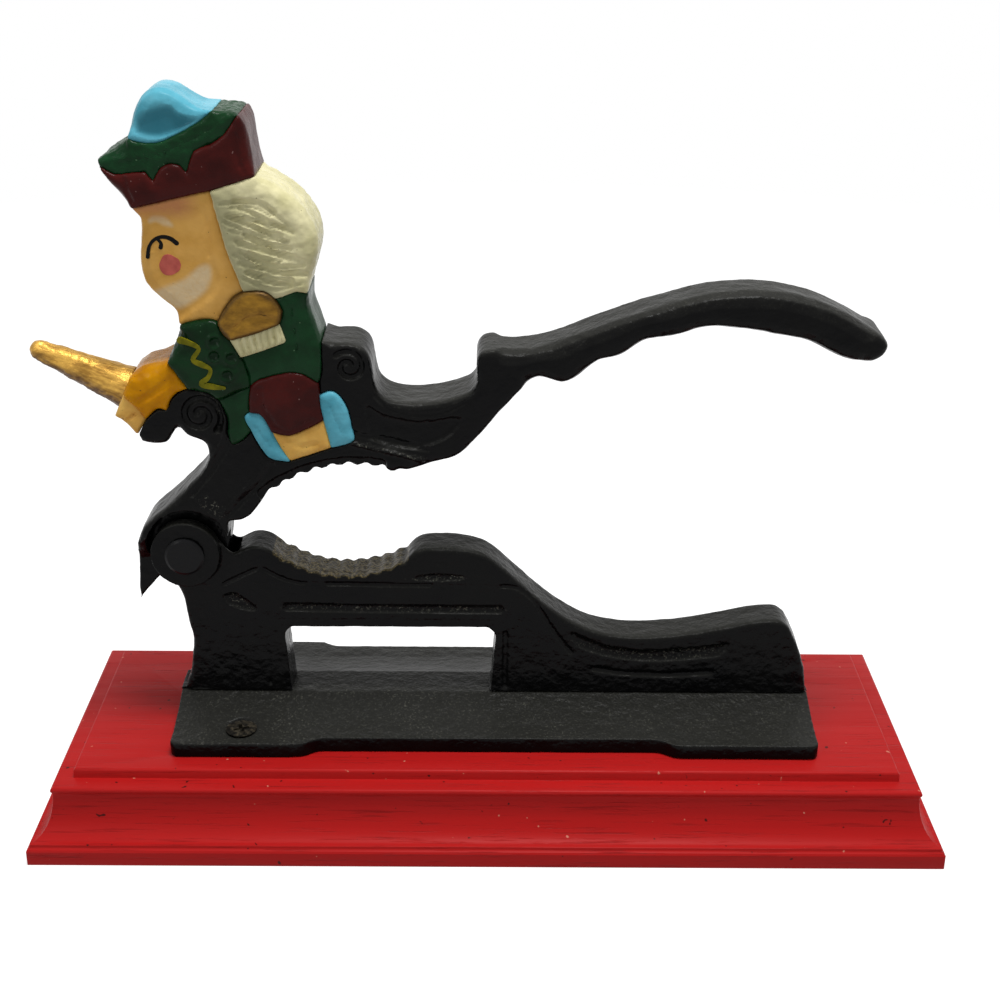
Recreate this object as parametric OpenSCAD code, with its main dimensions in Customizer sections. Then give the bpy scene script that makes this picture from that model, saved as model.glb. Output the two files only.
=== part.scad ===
// Lever nutcracker press: a cast-iron stand on a moulded wooden plinth, and a cast-iron lever that turns
// on a rivet through the stand's fork. A toy-soldier figure is cast in one with the lever; here it is
// divided along its painted forms, which meet face to face.
// X runs along the plinth towards the handle, Y runs to the back, Z is up. The origin is the centre of the
// plinth's underside. Lever and figure curves are given as [x, z] from the pivot.

/* [Plinth] */
// Length of the plinth at its foot
plinth_l = 280; // [260:1:340]
// Width of the plinth at its foot
plinth_w = 102; // [96:1:140]
// Height of the plinth
plinth_h = 26; // [23:1:40]
// Height of the upright edge at the foot
foot_h = 5.5; // [4:0.5:7]
// How far the cove runs in from the foot
cove_in = 7.8; // [5:0.2:10]
// Width of the ledge around the raised panel
ledge_w = 5.5; // [3:0.5:8]
// Height of the raised panel above the ledge
panel_step = 3.2; // [2:0.2:5]

/* [Stand] */
// Length of the stand's foot flange
flange_l = 201.5; // [196:0.5:215]
// Width of the flange across its screw ears
flange_w = 62; // [58:1:70]
// How far the flange's sides are cut back between the ears
flange_cut = 3.6; // [2:0.2:5]
// Length of the ears at the pivot end
ear_l = 41.5; // [34:0.5:50]
// Length of the ears at the tail end
tail_ear_l = 45; // [36:0.5:52]
// Thickness of the flange at its edge
flange_t = 5; // [4:0.5:7]
// Height at which the flange's cove meets the web
cove_h = 10.4; // [9:0.2:12]
// Thickness of the web
web_t = 14; // [13:0.5:18]
// Rounding of the web's edges
web_round = 1.6; // [0.8:0.2:2.4]
// Length of the window through the web
window_l = 66; // [56:1:70]
// Height of the window
window_h = 23; // [16:1:25]
// Depth of the ornament cut into the web
ornament_d = 0.9; // [0.5:0.1:1.4]

/* [Pivot] */
// Height of the pivot above the plinth
pivot_up = 59.1; // [57:0.5:66]
// Radius of the boss around the pivot
boss_r = 10.9; // [10:0.1:11]
// Width across the fork's two bosses
fork_w = 20.4; // [19:0.2:24]
// Thickness of the lever's tongue between the bosses
tongue_t = 9.4; // [8:0.2:10]
// Side clearance between the tongue and the fork
side_clear = 0.3; // [0.2:0.05:0.6]
// Radius of the slot cut for the tongue
slot_r = 15.4; // [15:0.1:16.5]
// Radius of the rivet's shank
pin_r = 4; // [3:0.1:5]
// Running clearance between the shank and the tongue's bore
pin_clear = 0.06; // [0.03:0.01:0.1]
// Radius of the rivet's heads
pin_head_r = 6; // [5.2:0.1:8]
// Height of the rivet's heads
pin_head_h = 1.1; // [0.6:0.1:2]

/* [Lever] */
// Thickness of the lever casting
lever_t = 20.6; // [19:0.2:24]
// Length of the handle beyond its thumb stop
handle_l = 121; // [100:1:150]
// Rounding of the lever body's edges
lever_round = 2.2; // [1.2:0.2:2.6]
// Rounding of the handle's edges
handle_round = 4.6; // [3:0.2:4.6]
// Depth of the ornament cut into the lever
scroll_d = 1.1; // [0.6:0.1:1.6]

/* [Jaws] */
// Radius of each tooth
tooth_r = 2.9; // [2.6:0.1:3]
// Spacing of the lower jaw's teeth
low_pitch = 4.6; // [4.4:0.1:5.6]
// Spacing of the upper jaw's teeth
up_pitch = 5.3; // [4.6:0.1:6]
// How far the teeth stand out of the jaws' hollows
tooth_out = 1; // [0.8:0.1:1.3]

/* [Figure] */
// Thickness of the face
face_t = 19; // [16:0.5:22]
// How far hair, hat band and shoulder stand out from the face on each side
relief = 1.4; // [0.6:0.1:2]
// Edge rounding along the figure's outline
figure_round = 3; // [1.5:0.1:3.4]
// Edge rounding where two painted forms meet
seam_round = 0.6; // [0.3:0.1:0.9]
// Radius of the horn's mouthpiece end
horn_tip_r = 3.1; // [2.4:0.1:4]
// Depth of the creases, strands and folds cut into the figure
crease_d = 0.5; // [0.3:0.1:0.8]
// Width of those creases
crease_w = 0.8; // [0.5:0.1:1]

/* [Screws] */
// Radius of the countersunk heads
screw_head_r = 4.8; // [4.4:0.1:5.4]
// Radius of the shanks
screw_r = 2.3; // [1.8:0.1:2.6]
// Length of a screw
screw_l = 22; // [16:1:25]
// Distance from the flange's end to a screw
screw_in = 21.5; // [16:0.5:26]
// Distance from the flange's side to a screw
screw_side = 8; // [7:0.5:9]

/* [Hidden] */
$fn = 48;

base_z = plinth_h;
flange_x0 = -98.5;
flange_x1 = flange_x0 + flange_l;
pivot_x = flange_x0 + 5.2;
pivot_z = base_z + pivot_up;
slot_w = tongue_t + 2 * side_clear;

// ---------- curves ----------

// A point on the smooth curve from b to c, with a and d as its neighbours
function smooth_at(a, b, c, d, t) =
    0.5 * (2 * b + (c - a) * t + (2 * a - 5 * b + 4 * c - d) * t * t + (3 * b - a - 3 * c + d) * t * t * t);

// A smooth curve through the points of p, without its last point
function chain(p, n = 2) =
    [for (i = [0:len(p) - 2], j = [0:n - 1])
        smooth_at(p[max(i - 1, 0)], p[i], p[i + 1], p[min(i + 2, len(p) - 1)], j / n)];

// The same with an edge rounding r attached to each point
function seg(p, r, n = 2) = [for (q = chain(p, n)) [q.x, q.y, r]];

function rev(p) = [for (i = [len(p) - 1:-1:0]) p[i]];
function unit(v) = v / norm(v);

// Centre of the circle through three points
function circle_centre(a, b, c) =
    let (d = 2 * (a.x * (b.y - c.y) + b.x * (c.y - a.y) + c.x * (a.y - b.y)),
         sa = a * a, sb = b * b, sc = c * c)
    [(sa * (b.y - c.y) + sb * (c.y - a.y) + sc * (a.y - b.y)) / d,
     (sa * (c.x - b.x) + sb * (a.x - c.x) + sc * (b.x - a.x)) / d];

// Points on an arc about c from angle a0 to a1, both ends included
function arc(c, r, a0, a1, n) = [for (i = [0:n]) c + r * [cos(a0 + (a1 - a0) * i / n), sin(a0 + (a1 - a0) * i / n)]];

function angle_of(v) = atan2(v.y, v.x);

// A band of width w along the open path p
function band(p, w) =
    let (last = len(p) - 1,
         side = [for (i = [0:last])
             let (t = unit(p[min(i + 1, last)] - p[max(i - 1, 0)])) [-t.y, t.x] * w / 2])
    concat([for (i = [0:last]) p[i] + side[i]], [for (i = [last:-1:0]) p[i] - side[i]]);

// ---------- solids ----------

// Twice the signed area of a closed outline
function area2(p) =
    let (n = len(p), s = [for (i = [0:n - 1]) p[i].x * p[(i + 1) % n].y - p[(i + 1) % n].x * p[i].y])
    s * [for (i = s) 1];

// Which way the path a, b, c turns: above zero is anticlockwise
function turn(a, b, c) = (b.x - a.x) * (c.y - a.y) - (b.y - a.y) * (c.x - a.x);

// Whether the corner at place i of the outline `left` can be cut off as a triangle with no point in it
function free_corner(p, left, i) =
    let (n = len(left), a = left[(i + n - 1) % n], b = left[i], c = left[(i + 1) % n])
    turn(p[a], p[b], p[c]) > 0
    && [for (q = left)
           if (q != a && q != b && q != c && turn(p[a], p[b], p[q]) >= 0 && turn(p[b], p[c], p[q]) >= 0
               && turn(p[c], p[a], p[q]) >= 0) q] == [];

function first_free(p, left, i = 0) =
    i == len(left) ? assert(false, "an outline crosses itself") 0
    : free_corner(p, left, i) ? i : first_free(p, left, i + 1);

// Triangles that fill an anticlockwise outline, as places in p: one corner is cut off after another
function filled(p, left, done = []) =
    len(left) == 3 ? concat(done, [left]) :
    let (n = len(left), i = first_free(p, left))
    filled(p, [for (k = [1:n - 1]) left[(i + k) % n]],
           concat(done, [[left[(i + n - 1) % n], left[i], left[(i + 1) % n]]]));

// Radius of the circle that touches an outline in its point a, where v leads inwards, and its edge from b to c
function fitting(a, v, b, c) =
    let (w = c - b, m = [-w.y, w.x] / norm(w), gap = (a - b) * m, spread = 1 - v * m, far = 1000)
    gap < 0.0001 || spread < 0.0001 ? far :
    let (r = gap / spread, u = (a + v * r - b) * w / (w * w))
    u >= 0 && u <= 1 ? r : far;

// For each point of an anticlockwise outline: its direction inwards, and its edge rounding.
// Where the outline is narrow or turns sharply the rounding is made smaller, so that the rim doesn't fold.
function rims(p) =
    let (n = len(p), flat = [for (q = p) [q.x, q.y]], edge = [for (i = [0:n - 1]) flat[(i + 1) % n] - flat[i]])
    [for (i = [0:n - 1])
        let (before = edge[(i + n - 1) % n], after = edge[i], e1 = unit(before), e2 = unit(after),
             n1 = [-e1.y, e1.x], n2 = [-e2.y, e2.x], in = (n1 + n2) / max(1 + n1 * n2, 0.5),
             slant = max(abs(e1 * in), abs(e2 * in), 0.01),
             corner = turn([0, 0], before, before + after) > 0 ? min(norm(before), norm(after)) / slant : 1000,
             circle = min([for (k = [0:n - 1]) fitting(flat[i], in, flat[k], flat[(k + 1) % n])]))
        [in.x, in.y, min(p[i].z, 0.4 * corner, 0.8 * circle)]];

// A plate in the XZ plane with rounded edges. Each point is [x, z, edge rounding].
module slab(outline, t, steps = 2) {
    p = area2(outline) > 0 ? outline : rev(outline);
    n = len(p);
    rim = rims(p);
    function ring(side, a) = [for (i = [0:n - 1])
        let (r = rim[i].z, in = r * (1 - cos(a)))
        [p[i].x + rim[i].x * in, side * (t / 2 - r * (1 - sin(a))), p[i].y + rim[i].y * in]];
    rings = concat([for (k = [steps:-1:0]) ring(-1, 90 * k / steps)],
                   [for (k = [0:steps]) ring(1, 90 * k / steps)]);
    m = len(rings);
    points = [for (g = rings, q = g) q];
    cap = filled([for (q = ring(1, 90)) [q.x, q.z]], [for (i = [0:n - 1]) i]);
    front_cap = [for (f = cap) rev(f)];
    back_cap = [for (f = cap) [for (i = f) (m - 1) * n + i]];
    walls = [for (k = [0:m - 2], i = [0:n - 1])
        let (a = k * n + i, b = k * n + (i + 1) % n, c = a + n, d = b + n)
        each [[a, b, d], [a, d, c]]];
    polyhedron(points, concat(front_cap, back_cap, walls), convexity = 8);
}

// Extrudes a flat XZ outline across the part, centred on y = 0
module across(t) {
    rotate([90, 0, 0])
        linear_extrude(t, center = true) children();
}

// Cuts an XZ outline into both faces of a plate of thickness t, to depth d
module both_faces(t, d) {
    for (s = [-1, 1])
        translate([0, s * (t / 2 - d / 2 + 0.5), 0])
            rotate([90, 0, 0])
                linear_extrude(d + 1, center = true) children();
}

module at_pivot() {
    translate([pivot_x, 0, pivot_z]) children();
}

// ---------- plinth ----------

// One side of the moulding as [distance in from the foot's edge, height]
cove_top = plinth_h - panel_step - 2;
cove_low = foot_h + 1.2;
moulding = concat(
    [[0, 0], [0, foot_h - 0.8], [0.3, foot_h - 0.2], [1, foot_h + 0.3]],
    [for (i = [0:8]) let (a = 90 * i / 8)
        [1 + (cove_in - 1) * sin(a), cove_low + (cove_top - cove_low) * (1 - cos(a))]],
    [[cove_in - 0.5, cove_top + 0.5], [cove_in - 0.6, cove_top + 1.2], [cove_in - 0.2, cove_top + 1.8],
     [cove_in + 0.5, cove_top + 2], [cove_in + ledge_w - 0.1, cove_top + 2],
     [cove_in + ledge_w, plinth_h - 0.5], [cove_in + ledge_w + 0.5, plinth_h]]);

module moulding_profile(half) {
    polygon(concat([for (p = moulding) [half - p.x, p.y]], [for (p = rev(moulding)) [p.x - half, p.y]]));
}

module plinth() {
    color("firebrick")
    difference() {
        intersection() {
            rotate([90, 0, 0])
                linear_extrude(plinth_w + 2, center = true) moulding_profile(plinth_l / 2);
            rotate([90, 0, 90])
                linear_extrude(plinth_l + 2, center = true) moulding_profile(plinth_w / 2);
        }
        for (s = screw_places)
            translate([s.x, s.y, base_z + screw_seat - screw_l])
                cylinder(r = screw_r, h = screw_l, $fn = 32);
    }
}

// ---------- stand ----------

half_flange = flange_w / 2;
cut_half = half_flange - flange_cut;
jog = 7;

// Flange outline along one side, from the pivot end to the tail end, as [x, half width]
flange_side = concat(
    [[flange_x0, half_flange - 1.5], [flange_x0 + 1.5, half_flange]],
    chain([[flange_x0 + ear_l - 4, half_flange], [flange_x0 + ear_l, half_flange - 0.5],
           [flange_x0 + ear_l + jog - 3, cut_half + 0.5], [flange_x0 + ear_l + jog, cut_half]], 3),
    chain([[flange_x1 - tail_ear_l - jog, cut_half], [flange_x1 - tail_ear_l - jog + 3, cut_half + 0.5],
           [flange_x1 - tail_ear_l, half_flange - 0.5], [flange_x1 - tail_ear_l + 4, half_flange]], 3),
    [[flange_x1 - 1.5, half_flange], [flange_x1, half_flange - 1.5]]);

// Height of the flange's top at a distance y from the middle: a cove from the edge up into the web
cove_end = web_t / 2 - 2;
function flange_top(y) =
    let (u = (half_flange - y) / (half_flange - cove_end))
    flange_t + (cove_h - flange_t) * pow(min(max(u, 0), 1), 1.7);

cove = [for (i = [0:8]) let (y = half_flange - 0.6 - (half_flange - 0.6 - cove_end) * i / 8) [y, flange_top(y)]];
flange_profile = concat(
    [[-half_flange - 1, 0], [half_flange + 1, 0], [half_flange + 1, flange_t - 0.6], [half_flange, flange_t - 0.6]],
    cove, [for (p = rev(cove)) [-p.x, p.y]],
    [[-half_flange, flange_t - 0.6], [-half_flange - 1, flange_t - 0.6]]);

module flange() {
    intersection() {
        translate([(flange_x0 + flange_x1) / 2, 0, base_z])
            rotate([90, 0, 90])
                linear_extrude(flange_l + 2, center = true) polygon(flange_profile);
        translate([0, 0, base_z - 1])
            linear_extrude(cove_h + 2)
                polygon(concat([for (p = flange_side) [p.x, -p.y]], rev(flange_side)));
    }
}

// Points of the stand near the pivot are given from the pivot, the rest from the flange's ends
function by_pivot(p) = [pivot_x + p.x, pivot_z + p.y];
function by_tail(p) = [flange_x1 + p.x, base_z + p.y];
function by_head(p) = [flange_x0 + p.x, base_z + p.y];

// Lower jaw: the arc that the teeth's centres lie on, from the hump's end to the stop's end
low_jaw = [[67, -3.9], [47, -8.9], [29.8, -3.2]];
low_c = circle_centre(low_jaw[0], low_jaw[1], low_jaw[2]);
low_r = norm(low_jaw[0] - low_c);
low_a0 = angle_of(low_jaw[0] - low_c);
low_a1 = angle_of(low_jaw[2] - low_c);

tail_end = [for (p = [[-2, 1.5], [-0.4, 10], [-1.6, 19], [-4.6, 28], [-7.6, 33.8]]) by_tail(p)];
tail_top = [for (p = [[-7.6, 33.8], [-10.5, 35.8], [-15, 36], [-20, 35.4], [-25.5, 34.1], [-34, 32.3],
                      [-43, 30.8], [-52, 30], [-60, 30.1], [-68, 31.5], [-74, 33.8]]) by_tail(p)];
hump = [for (p = [[116.8, -22], [110.5, -17.1], [104, -11.2], [98.8, -6.1], [95, -2.7], [91, -0.1],
                  [85, 1.2], [78.5, 1.6], [73.4, 1.4], [69.9, -0.2], [67.8, -2.4], [67, -3.9]]) by_pivot(p)];
jaw_floor = [for (p = arc(low_c, low_r, low_a0, low_a1, 18)) if (norm(p - low_jaw[2]) > 0.1) by_pivot(p)];
stop_bump = [for (p = [[29.8, -3.2], [28, -1.2], [25.2, 0.9], [22.4, 1.9], [19.4, 1.8], [16.6, 0.4],
                       [14.2, -0.4], [12, 1.6], [9.4, 5], [6.6, 8.4], [3, 9.6]]) by_pivot(p)];
boss_left = [for (p = [[3, 9.6], [-3, 9.2], [-7.6, 5], [-9, -1], [-8, -6.4], [-5.6, -10],
                       [-3.6, -13.2], [-2.4, -17], [-1.7, -22], [-1.1, -26.5]]) by_pivot(p)];
pillar_left = [for (p = [[4.9, 28.5], [4.3, 23], [3.2, 16], [1.6, 12], [1.2, 1.5]]) by_head(p)];

web_outline = concat(
    seg(tail_end, web_round), seg(concat(tail_top, hump), web_round, 3),
    [for (p = jaw_floor) [p.x, p.y, 0.4]],
    seg(stop_bump, 1), seg(concat(boss_left, pillar_left), web_round));

// Teeth along the arc of radius r about c: round bars of length w sunk into the metal outside the arc
module teeth(c, r, a0, a1, pitch, w) {
    count = round(abs(a1 - a0) * PI / 180 * r / pitch);
    step = (a1 - a0) / count;
    reach = r + tooth_r - tooth_out;
    for (i = [0:count - 1])
        translate([c.x + reach * cos(a0 + step * (i + 0.5)), 0, c.y + reach * sin(a0 + step * (i + 0.5))])
            rotate([90, 0, 0])
                cylinder(r = tooth_r, h = w, center = true);
}

// The window: upright sides, round upper corners, its sill on the ridge of the flange
window_x0 = flange_x0 + 34.6;
window_x1 = window_x0 + window_l;
window_z0 = base_z + cove_h - 0.5;
window_z1 = window_z0 + window_h;
window_outline = concat(
    [[window_x0 + 1.4, window_z0], [window_x1 - 1.4, window_z0]],
    arc([window_x1 - 3.4, window_z1 - 3.4], 3.4, 0, 90, 6),
    arc([window_x0 + 3.4, window_z1 - 3.4], 3.4, 90, 180, 6));

// Ornament of the web, as paths and patches on its faces
frame_line = [for (p = concat(
    chain([[10.2, -11.6], [16.5, -8.2], [22.6, -5.4]], 2),
    chain([[22.6, -5.4], [28, -8.6], [34, -10.6], [44, -11]], 2),
    chain([[44, -11], [70, -11.2], [96, -11.4], [103, -12.4], [108, -17], [112, -24], [117, -31.5]], 2),
    [[120, -35.5]])) by_pivot(p)];
rib_groove = [for (p = [[29, -19.2], [60, -19.6], [98, -19.8]]) by_pivot(p)];
leaf = [for (p = chain([[10, -15.4], [14, -14.4], [19.4, -18.4], [20.6, -20.6], [16, -20], [12, -18], [10, -15.4]], 2)) by_pivot(p)];
lens = [for (p = concat(chain([[67.5, -8.9], [78, -7.3], [88.5, -8.6]], 4), chain([[88.5, -8.6], [78, -9.7], [67.5, -8.9]], 4))) by_pivot(p)];
lens_brow = [for (p = arc([78, -11.8], 8.6, 30, 140, 10)) by_pivot(p)];
tail_panel = [for (p = concat(
    chain([[-77, 32], [-66, 26.8], [-52, 25.2], [-36, 26.4], [-26, 28.2]], 3),
    chain([[-26, 28.2], [-29, 23.4], [-34, 22.6]], 2),
    chain([[-34, 22.6], [-48, 21.4], [-62, 22.4], [-74, 26.4], [-77, 32]], 3))) by_tail(p)];
tail_groove = [for (p = [[-70, 18.6], [-60, 17], [-45, 16.4], [-31, 17.4]]) by_tail(p)];
left_ribs = [[window_x0 - 13, 3.2], [window_x0 - 5.6, 0.4]];

module web_ornament() {
    polygon(band(frame_line, 1.1));
    polygon(band(rib_groove, 2.6));
    polygon(leaf);
    polygon(lens);
    polygon(band(lens_brow, 0.8));
    polygon(tail_panel);
    polygon(band(tail_groove, 1.8));
    polygon(band([[window_x0 - 3.2, window_z0 + 1], [window_x0 - 3.2, window_z1 - 1]], 1));
    polygon(band([[window_x0 - 3.2, window_z1 + 2.6], [window_x1 + 1, window_z1 + 2.6]], 0.8));
    polygon(band([[window_x1 + 3.4, window_z1 - 1], [window_x1 + 3.4, window_z0 + 1]], 1.2));
    for (r = left_ribs)
        polygon(band([[r.x, window_z0 + 2], [r.x - r.y / 2, window_z1 - 6]], 0.9));
}

// Screws: one at each of two opposite ears
screw_seat = flange_top(half_flange - screw_side);
screw_places = [[flange_x0 + screw_in, screw_side - half_flange], [flange_x1 - screw_in, half_flange - screw_side]];
head_h = screw_head_r - screw_r;

module stand() {
    color("#26272b")
    difference() {
        union() {
            slab(web_outline, web_t);
            flange();
            at_pivot() rotate([90, 0, 0])
                cylinder(r = boss_r, h = fork_w, center = true, $fn = 64);
            at_pivot()
                teeth(low_c, low_r, low_a0, low_a1, low_pitch, web_t - 0.6);
        }
        at_pivot() rotate([90, 0, 0]) {
            cylinder(r = slot_r, h = slot_w, center = true, $fn = 64);
            cylinder(r = pin_r, h = fork_w + 2, center = true);
        }
        across(web_t + 2) polygon(window_outline);
        both_faces(web_t, ornament_d) web_ornament();
        for (s = screw_places)
            translate([s.x, s.y, base_z + screw_seat]) {
                translate([0, 0, -head_h]) cylinder(r1 = screw_r, r2 = screw_head_r, h = head_h, $fn = 32);
                translate([0, 0, -screw_seat - 1]) cylinder(r = screw_r, h = screw_seat, $fn = 32);
                cylinder(r = screw_head_r, h = 4, $fn = 32);
            }
    }
}

module screw() {
    difference() {
        union() {
            translate([0, 0, -head_h]) cylinder(r1 = screw_r, r2 = screw_head_r, h = head_h, $fn = 32);
            translate([0, 0, -screw_l]) cylinder(r = screw_r, h = screw_l - head_h, $fn = 32);
        }
        for (a = [20, 110])
            rotate([0, 0, a])
                translate([0, 0, -0.7]) cube([5, 1.1, 1.6], center = true);
    }
}

module screw_front() {
    color("#303030")
        translate([screw_places[0].x, screw_places[0].y, base_z + screw_seat]) screw();
}

module screw_rear() {
    color("#303030")
        translate([screw_places[1].x, screw_places[1].y, base_z + screw_seat]) screw();
}

module pivot_rivet() {
    color("#2b2b2e")
    at_pivot() rotate([90, 0, 0])
        rotate_extrude($fn = 48)
            polygon([[0, -fork_w / 2 - pin_head_h], [pin_head_r - 0.8, -fork_w / 2 - pin_head_h],
                     [pin_head_r, -fork_w / 2 - pin_head_h + 0.5], [pin_head_r, -fork_w / 2],
                     [pin_r, -fork_w / 2], [pin_r, fork_w / 2], [pin_head_r, fork_w / 2],
                     [pin_head_r, fork_w / 2 + pin_head_h - 0.5], [pin_head_r - 0.8, fork_w / 2 + pin_head_h],
                     [0, fork_w / 2 + pin_head_h]]);
}

// ---------- figure and seams ----------

// Corners where three painted forms, or two and the outline, meet
j_jacket_arm = [43.9, 69.6];
j_breech_top = [43, 56.5];
j_breech_low = [43.2, 52.4];
j_back_knee = [46.2, 36.2];
j_front_knee = [33.6, 31.8];
j_tail_front = [22.6, 41.6];
j_tail_tip = [16.6, 36.8];
j_scroll_top = [13.6, 51.1];
j_cuff_scroll = [4.4, 54.4];
j_cuff_bracket = [-2.2, 47.4];
j_cuff_hand = [-8.6, 44.6];
j_hand_low = [-11.6, 39.6];
j_horn_low = [-17.6, 45.2];
j_horn_top = [-12.1, 57.3];
j_horn_mid = j_horn_low + 0.54 * (j_horn_top - j_horn_low);
j_cuff_top = [-0.8, 62.5];
j_neck = [3.7, 74];
j_shoulder = [15, 74.9];
j_hair_low = [22.6, 83.9];
j_collar = [31.4, 81.9];
j_fringe_back = [32.2, 74.7];
j_fringe_front = [18.2, 69.9];
j_fringe_low = [20.9, 64.7];
j_waist = [23.2, 55.4];
j_breech_knee = [44.2, 45];
j_breech_front = [28.6, 41.2];
j_breech_tail = [22.4, 47];
j_nape = [40.9, 83.6];
j_temple = [14.8, 113.2];
j_brow = [-7.4, 108];
j_band_back = [27.4, 117.2];
j_hat_front = [-15.5, 119.9];
j_hat_back = [23.7, 133.9];
j_crown_front = [-7, 127.2];
j_crown_back = [16.4, 134.9];

// Seams with the lever
jacket_lever = [j_breech_top, [43.8, 60], [43.9, 65], j_jacket_arm];
breeches_lever = [j_breech_low, j_breech_top];
back_lever = [j_back_knee, [50, 37.2], [53, 38.6], [52.2, 42.4], [51.2, 48], [49, 52.2], [46.4, 53.8], j_breech_low];
knee_lever = [j_back_knee, [40, 33.9], j_front_knee];
front_lever = [j_front_knee, [30.6, 31.9], [27.4, 33], [25.2, 36.2], j_tail_front];
tail_lever = [j_tail_front, [20, 38.6], j_tail_tip];
scroll_tail = [j_tail_tip, [15.7, 40.4], [15.8, 45.6], j_scroll_top];
scroll_sleeve = [j_scroll_top, [10, 53.6], j_cuff_scroll];
cuff_scroll = [j_cuff_scroll, [1.2, 53], [-1.2, 50.4], j_cuff_bracket];
cuff_bracket = [j_cuff_bracket, [-5, 48], j_cuff_hand];
hand_bracket = [j_cuff_hand, j_hand_low];

// Seams inside the figure
crown_base = [j_crown_front, [-3.6, 126.2], [0, 126.1], [3.1, 126.9], [9.1, 129.9], [14, 132.8], j_crown_back];
band_zigzag = concat(
    chain([j_hat_front, [-11.4, 117.4], [-6.5, 117.9], [-2.8, 118.1]], 2),
    chain([[-2.8, 118.1], [-0.8, 115.2]], 1),
    chain([[-0.8, 115.2], [1.6, 119.3], [4.8, 120.5], [6.9, 119.9]], 2),
    chain([[6.9, 119.9], [8.8, 117.6]], 1),
    chain([[8.8, 117.6], [11.2, 124], [15.7, 125.8], [20, 128.8], j_hat_back], 2),
    [j_hat_back]);
band_head = [j_brow, [-2.1, 109.3], [6.4, 111.4], j_temple];
band_hair = [j_temple, [21, 115.2], [25, 116.5], j_band_back];
head_hair = [j_hair_low, [21.2, 88], [18.9, 94.5], [17.5, 100.3], [16.3, 105.4], j_temple];
head_sleeve = [j_neck, [6.7, 74.8], [9.6, 75.6], [12.5, 75.6], j_shoulder];
head_epaulette = [j_shoulder, [16.7, 78.3], [19.8, 82.3], j_hair_low];
hair_epaulette = [j_hair_low, [26.5, 84.4], [29.6, 83.7], j_collar];
hair_jacket = [j_collar, [34.5, 83], [38, 84.4], j_nape];
epaulette_jacket = [j_collar, [33.3, 78.4], j_fringe_back];
epaulette_fringe_seam = [j_fringe_front, [25.4, 72], j_fringe_back];
epaulette_sleeve = [j_fringe_front, [16, 72.2], j_shoulder];
fringe_back = [j_fringe_back, [33.9, 69.4]];
fringe_low = [[33.9, 69.4], [27.4, 66.9], j_fringe_low];
fringe_sleeve = [j_fringe_low, j_fringe_front];
sleeve_jacket = [j_fringe_low, [22.6, 60], j_waist];
waist = [j_waist, [26, 57.6], [33.7, 59.6], [38.6, 59.2], j_breech_top];
sleeve_tail = [j_waist, [18.6, 53.4], j_scroll_top];
breeches_tail = [j_breech_tail, [22.6, 51], j_waist];
tail_front = [j_breech_tail, [20.8, 45.6], j_tail_front];
breeches_back = [j_breech_low, [43.4, 49], j_breech_knee];
breeches_knee = [j_breech_knee, [40.1, 42.6], [33.6, 39.9], j_breech_front];
breeches_front = [j_breech_front, [27.2, 44.4], [25.3, 46.8], j_breech_tail];
knee_back = [j_breech_knee, [45.3, 40.4], j_back_knee];
knee_front = [j_breech_front, [30.8, 36.4], j_front_knee];
cuff_sleeve = [j_cuff_scroll, [1.8, 58.6], j_cuff_top];
cuff_hand = [j_cuff_hand, [-11, 48.2], j_horn_mid];

// The figure's own outline
crown_top = [j_crown_back, [12.8, 135.2], [9.3, 137.2], [5.2, 139.9], [1.9, 140.7], [-0.4, 140.1], [-2.8, 138.2],
             [-5.1, 134], [-6, 130.6], j_crown_front];
hat_front_top = [j_crown_front, [-10, 125.2], [-13.8, 122.8], [-15.8, 121.4], j_hat_front];
hat_back_top = [j_hat_back, [21.4, 134.8], j_crown_back];
band_front = [j_hat_front, [-13.3, 116.3], [-10.4, 112.1], j_brow];
band_back = [j_band_back, [26.7, 122], [26, 127], [25.2, 131.4], j_hat_back];
hair_back = [j_nape, [42.2, 88.6], [43.7, 93.4], [44.3, 97.4], [44, 101], [42.4, 105], [39.3, 109.6], [35.1, 113],
             [31, 115.6], j_band_back];
profile = [j_brow, [-6.1, 106.4], [-5.5, 104.4], [-5.5, 101], [-6.1, 96.4], [-6.5, 92], [-5.6, 86], [-1.8, 81.6],
           [1.9, 78.5], [3.3, 76], j_neck];
jacket_back = [j_jacket_arm, [42, 75.6], [40.9, 79.6], j_nape];
sleeve_front = [j_cuff_top, [-0.2, 64.1], [1.9, 68.4], [3.3, 71.8], j_neck];
cuff_top_edge = [j_cuff_top, [-4.4, 61.3], [-8.9, 60], j_horn_top];
hand_low = [j_hand_low, [-14.6, 42.6], j_horn_low];

// ---------- lever ----------

// Upper jaw: the arc of its teeth's centres, from the lobe to the last tooth
up_jaw = [[27, 21.6], [47, 30], [66.4, 28.4]];
lobe_teeth = [[20.6, 17.6], [17.4, 14.6]];
up_c = circle_centre(up_jaw[0], up_jaw[1], up_jaw[2]);
up_r = norm(up_jaw[0] - up_c);
up_a0 = angle_of(up_jaw[0] - up_c);
up_a1 = angle_of(up_jaw[2] - up_c);

// The handle's points stretch with its length
stop_x = 89.2;
drawn_l = 121;
function handle(p) = [for (q = p) [stop_x + (q.x - stop_x) * handle_l / drawn_l, q.y]];

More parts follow.
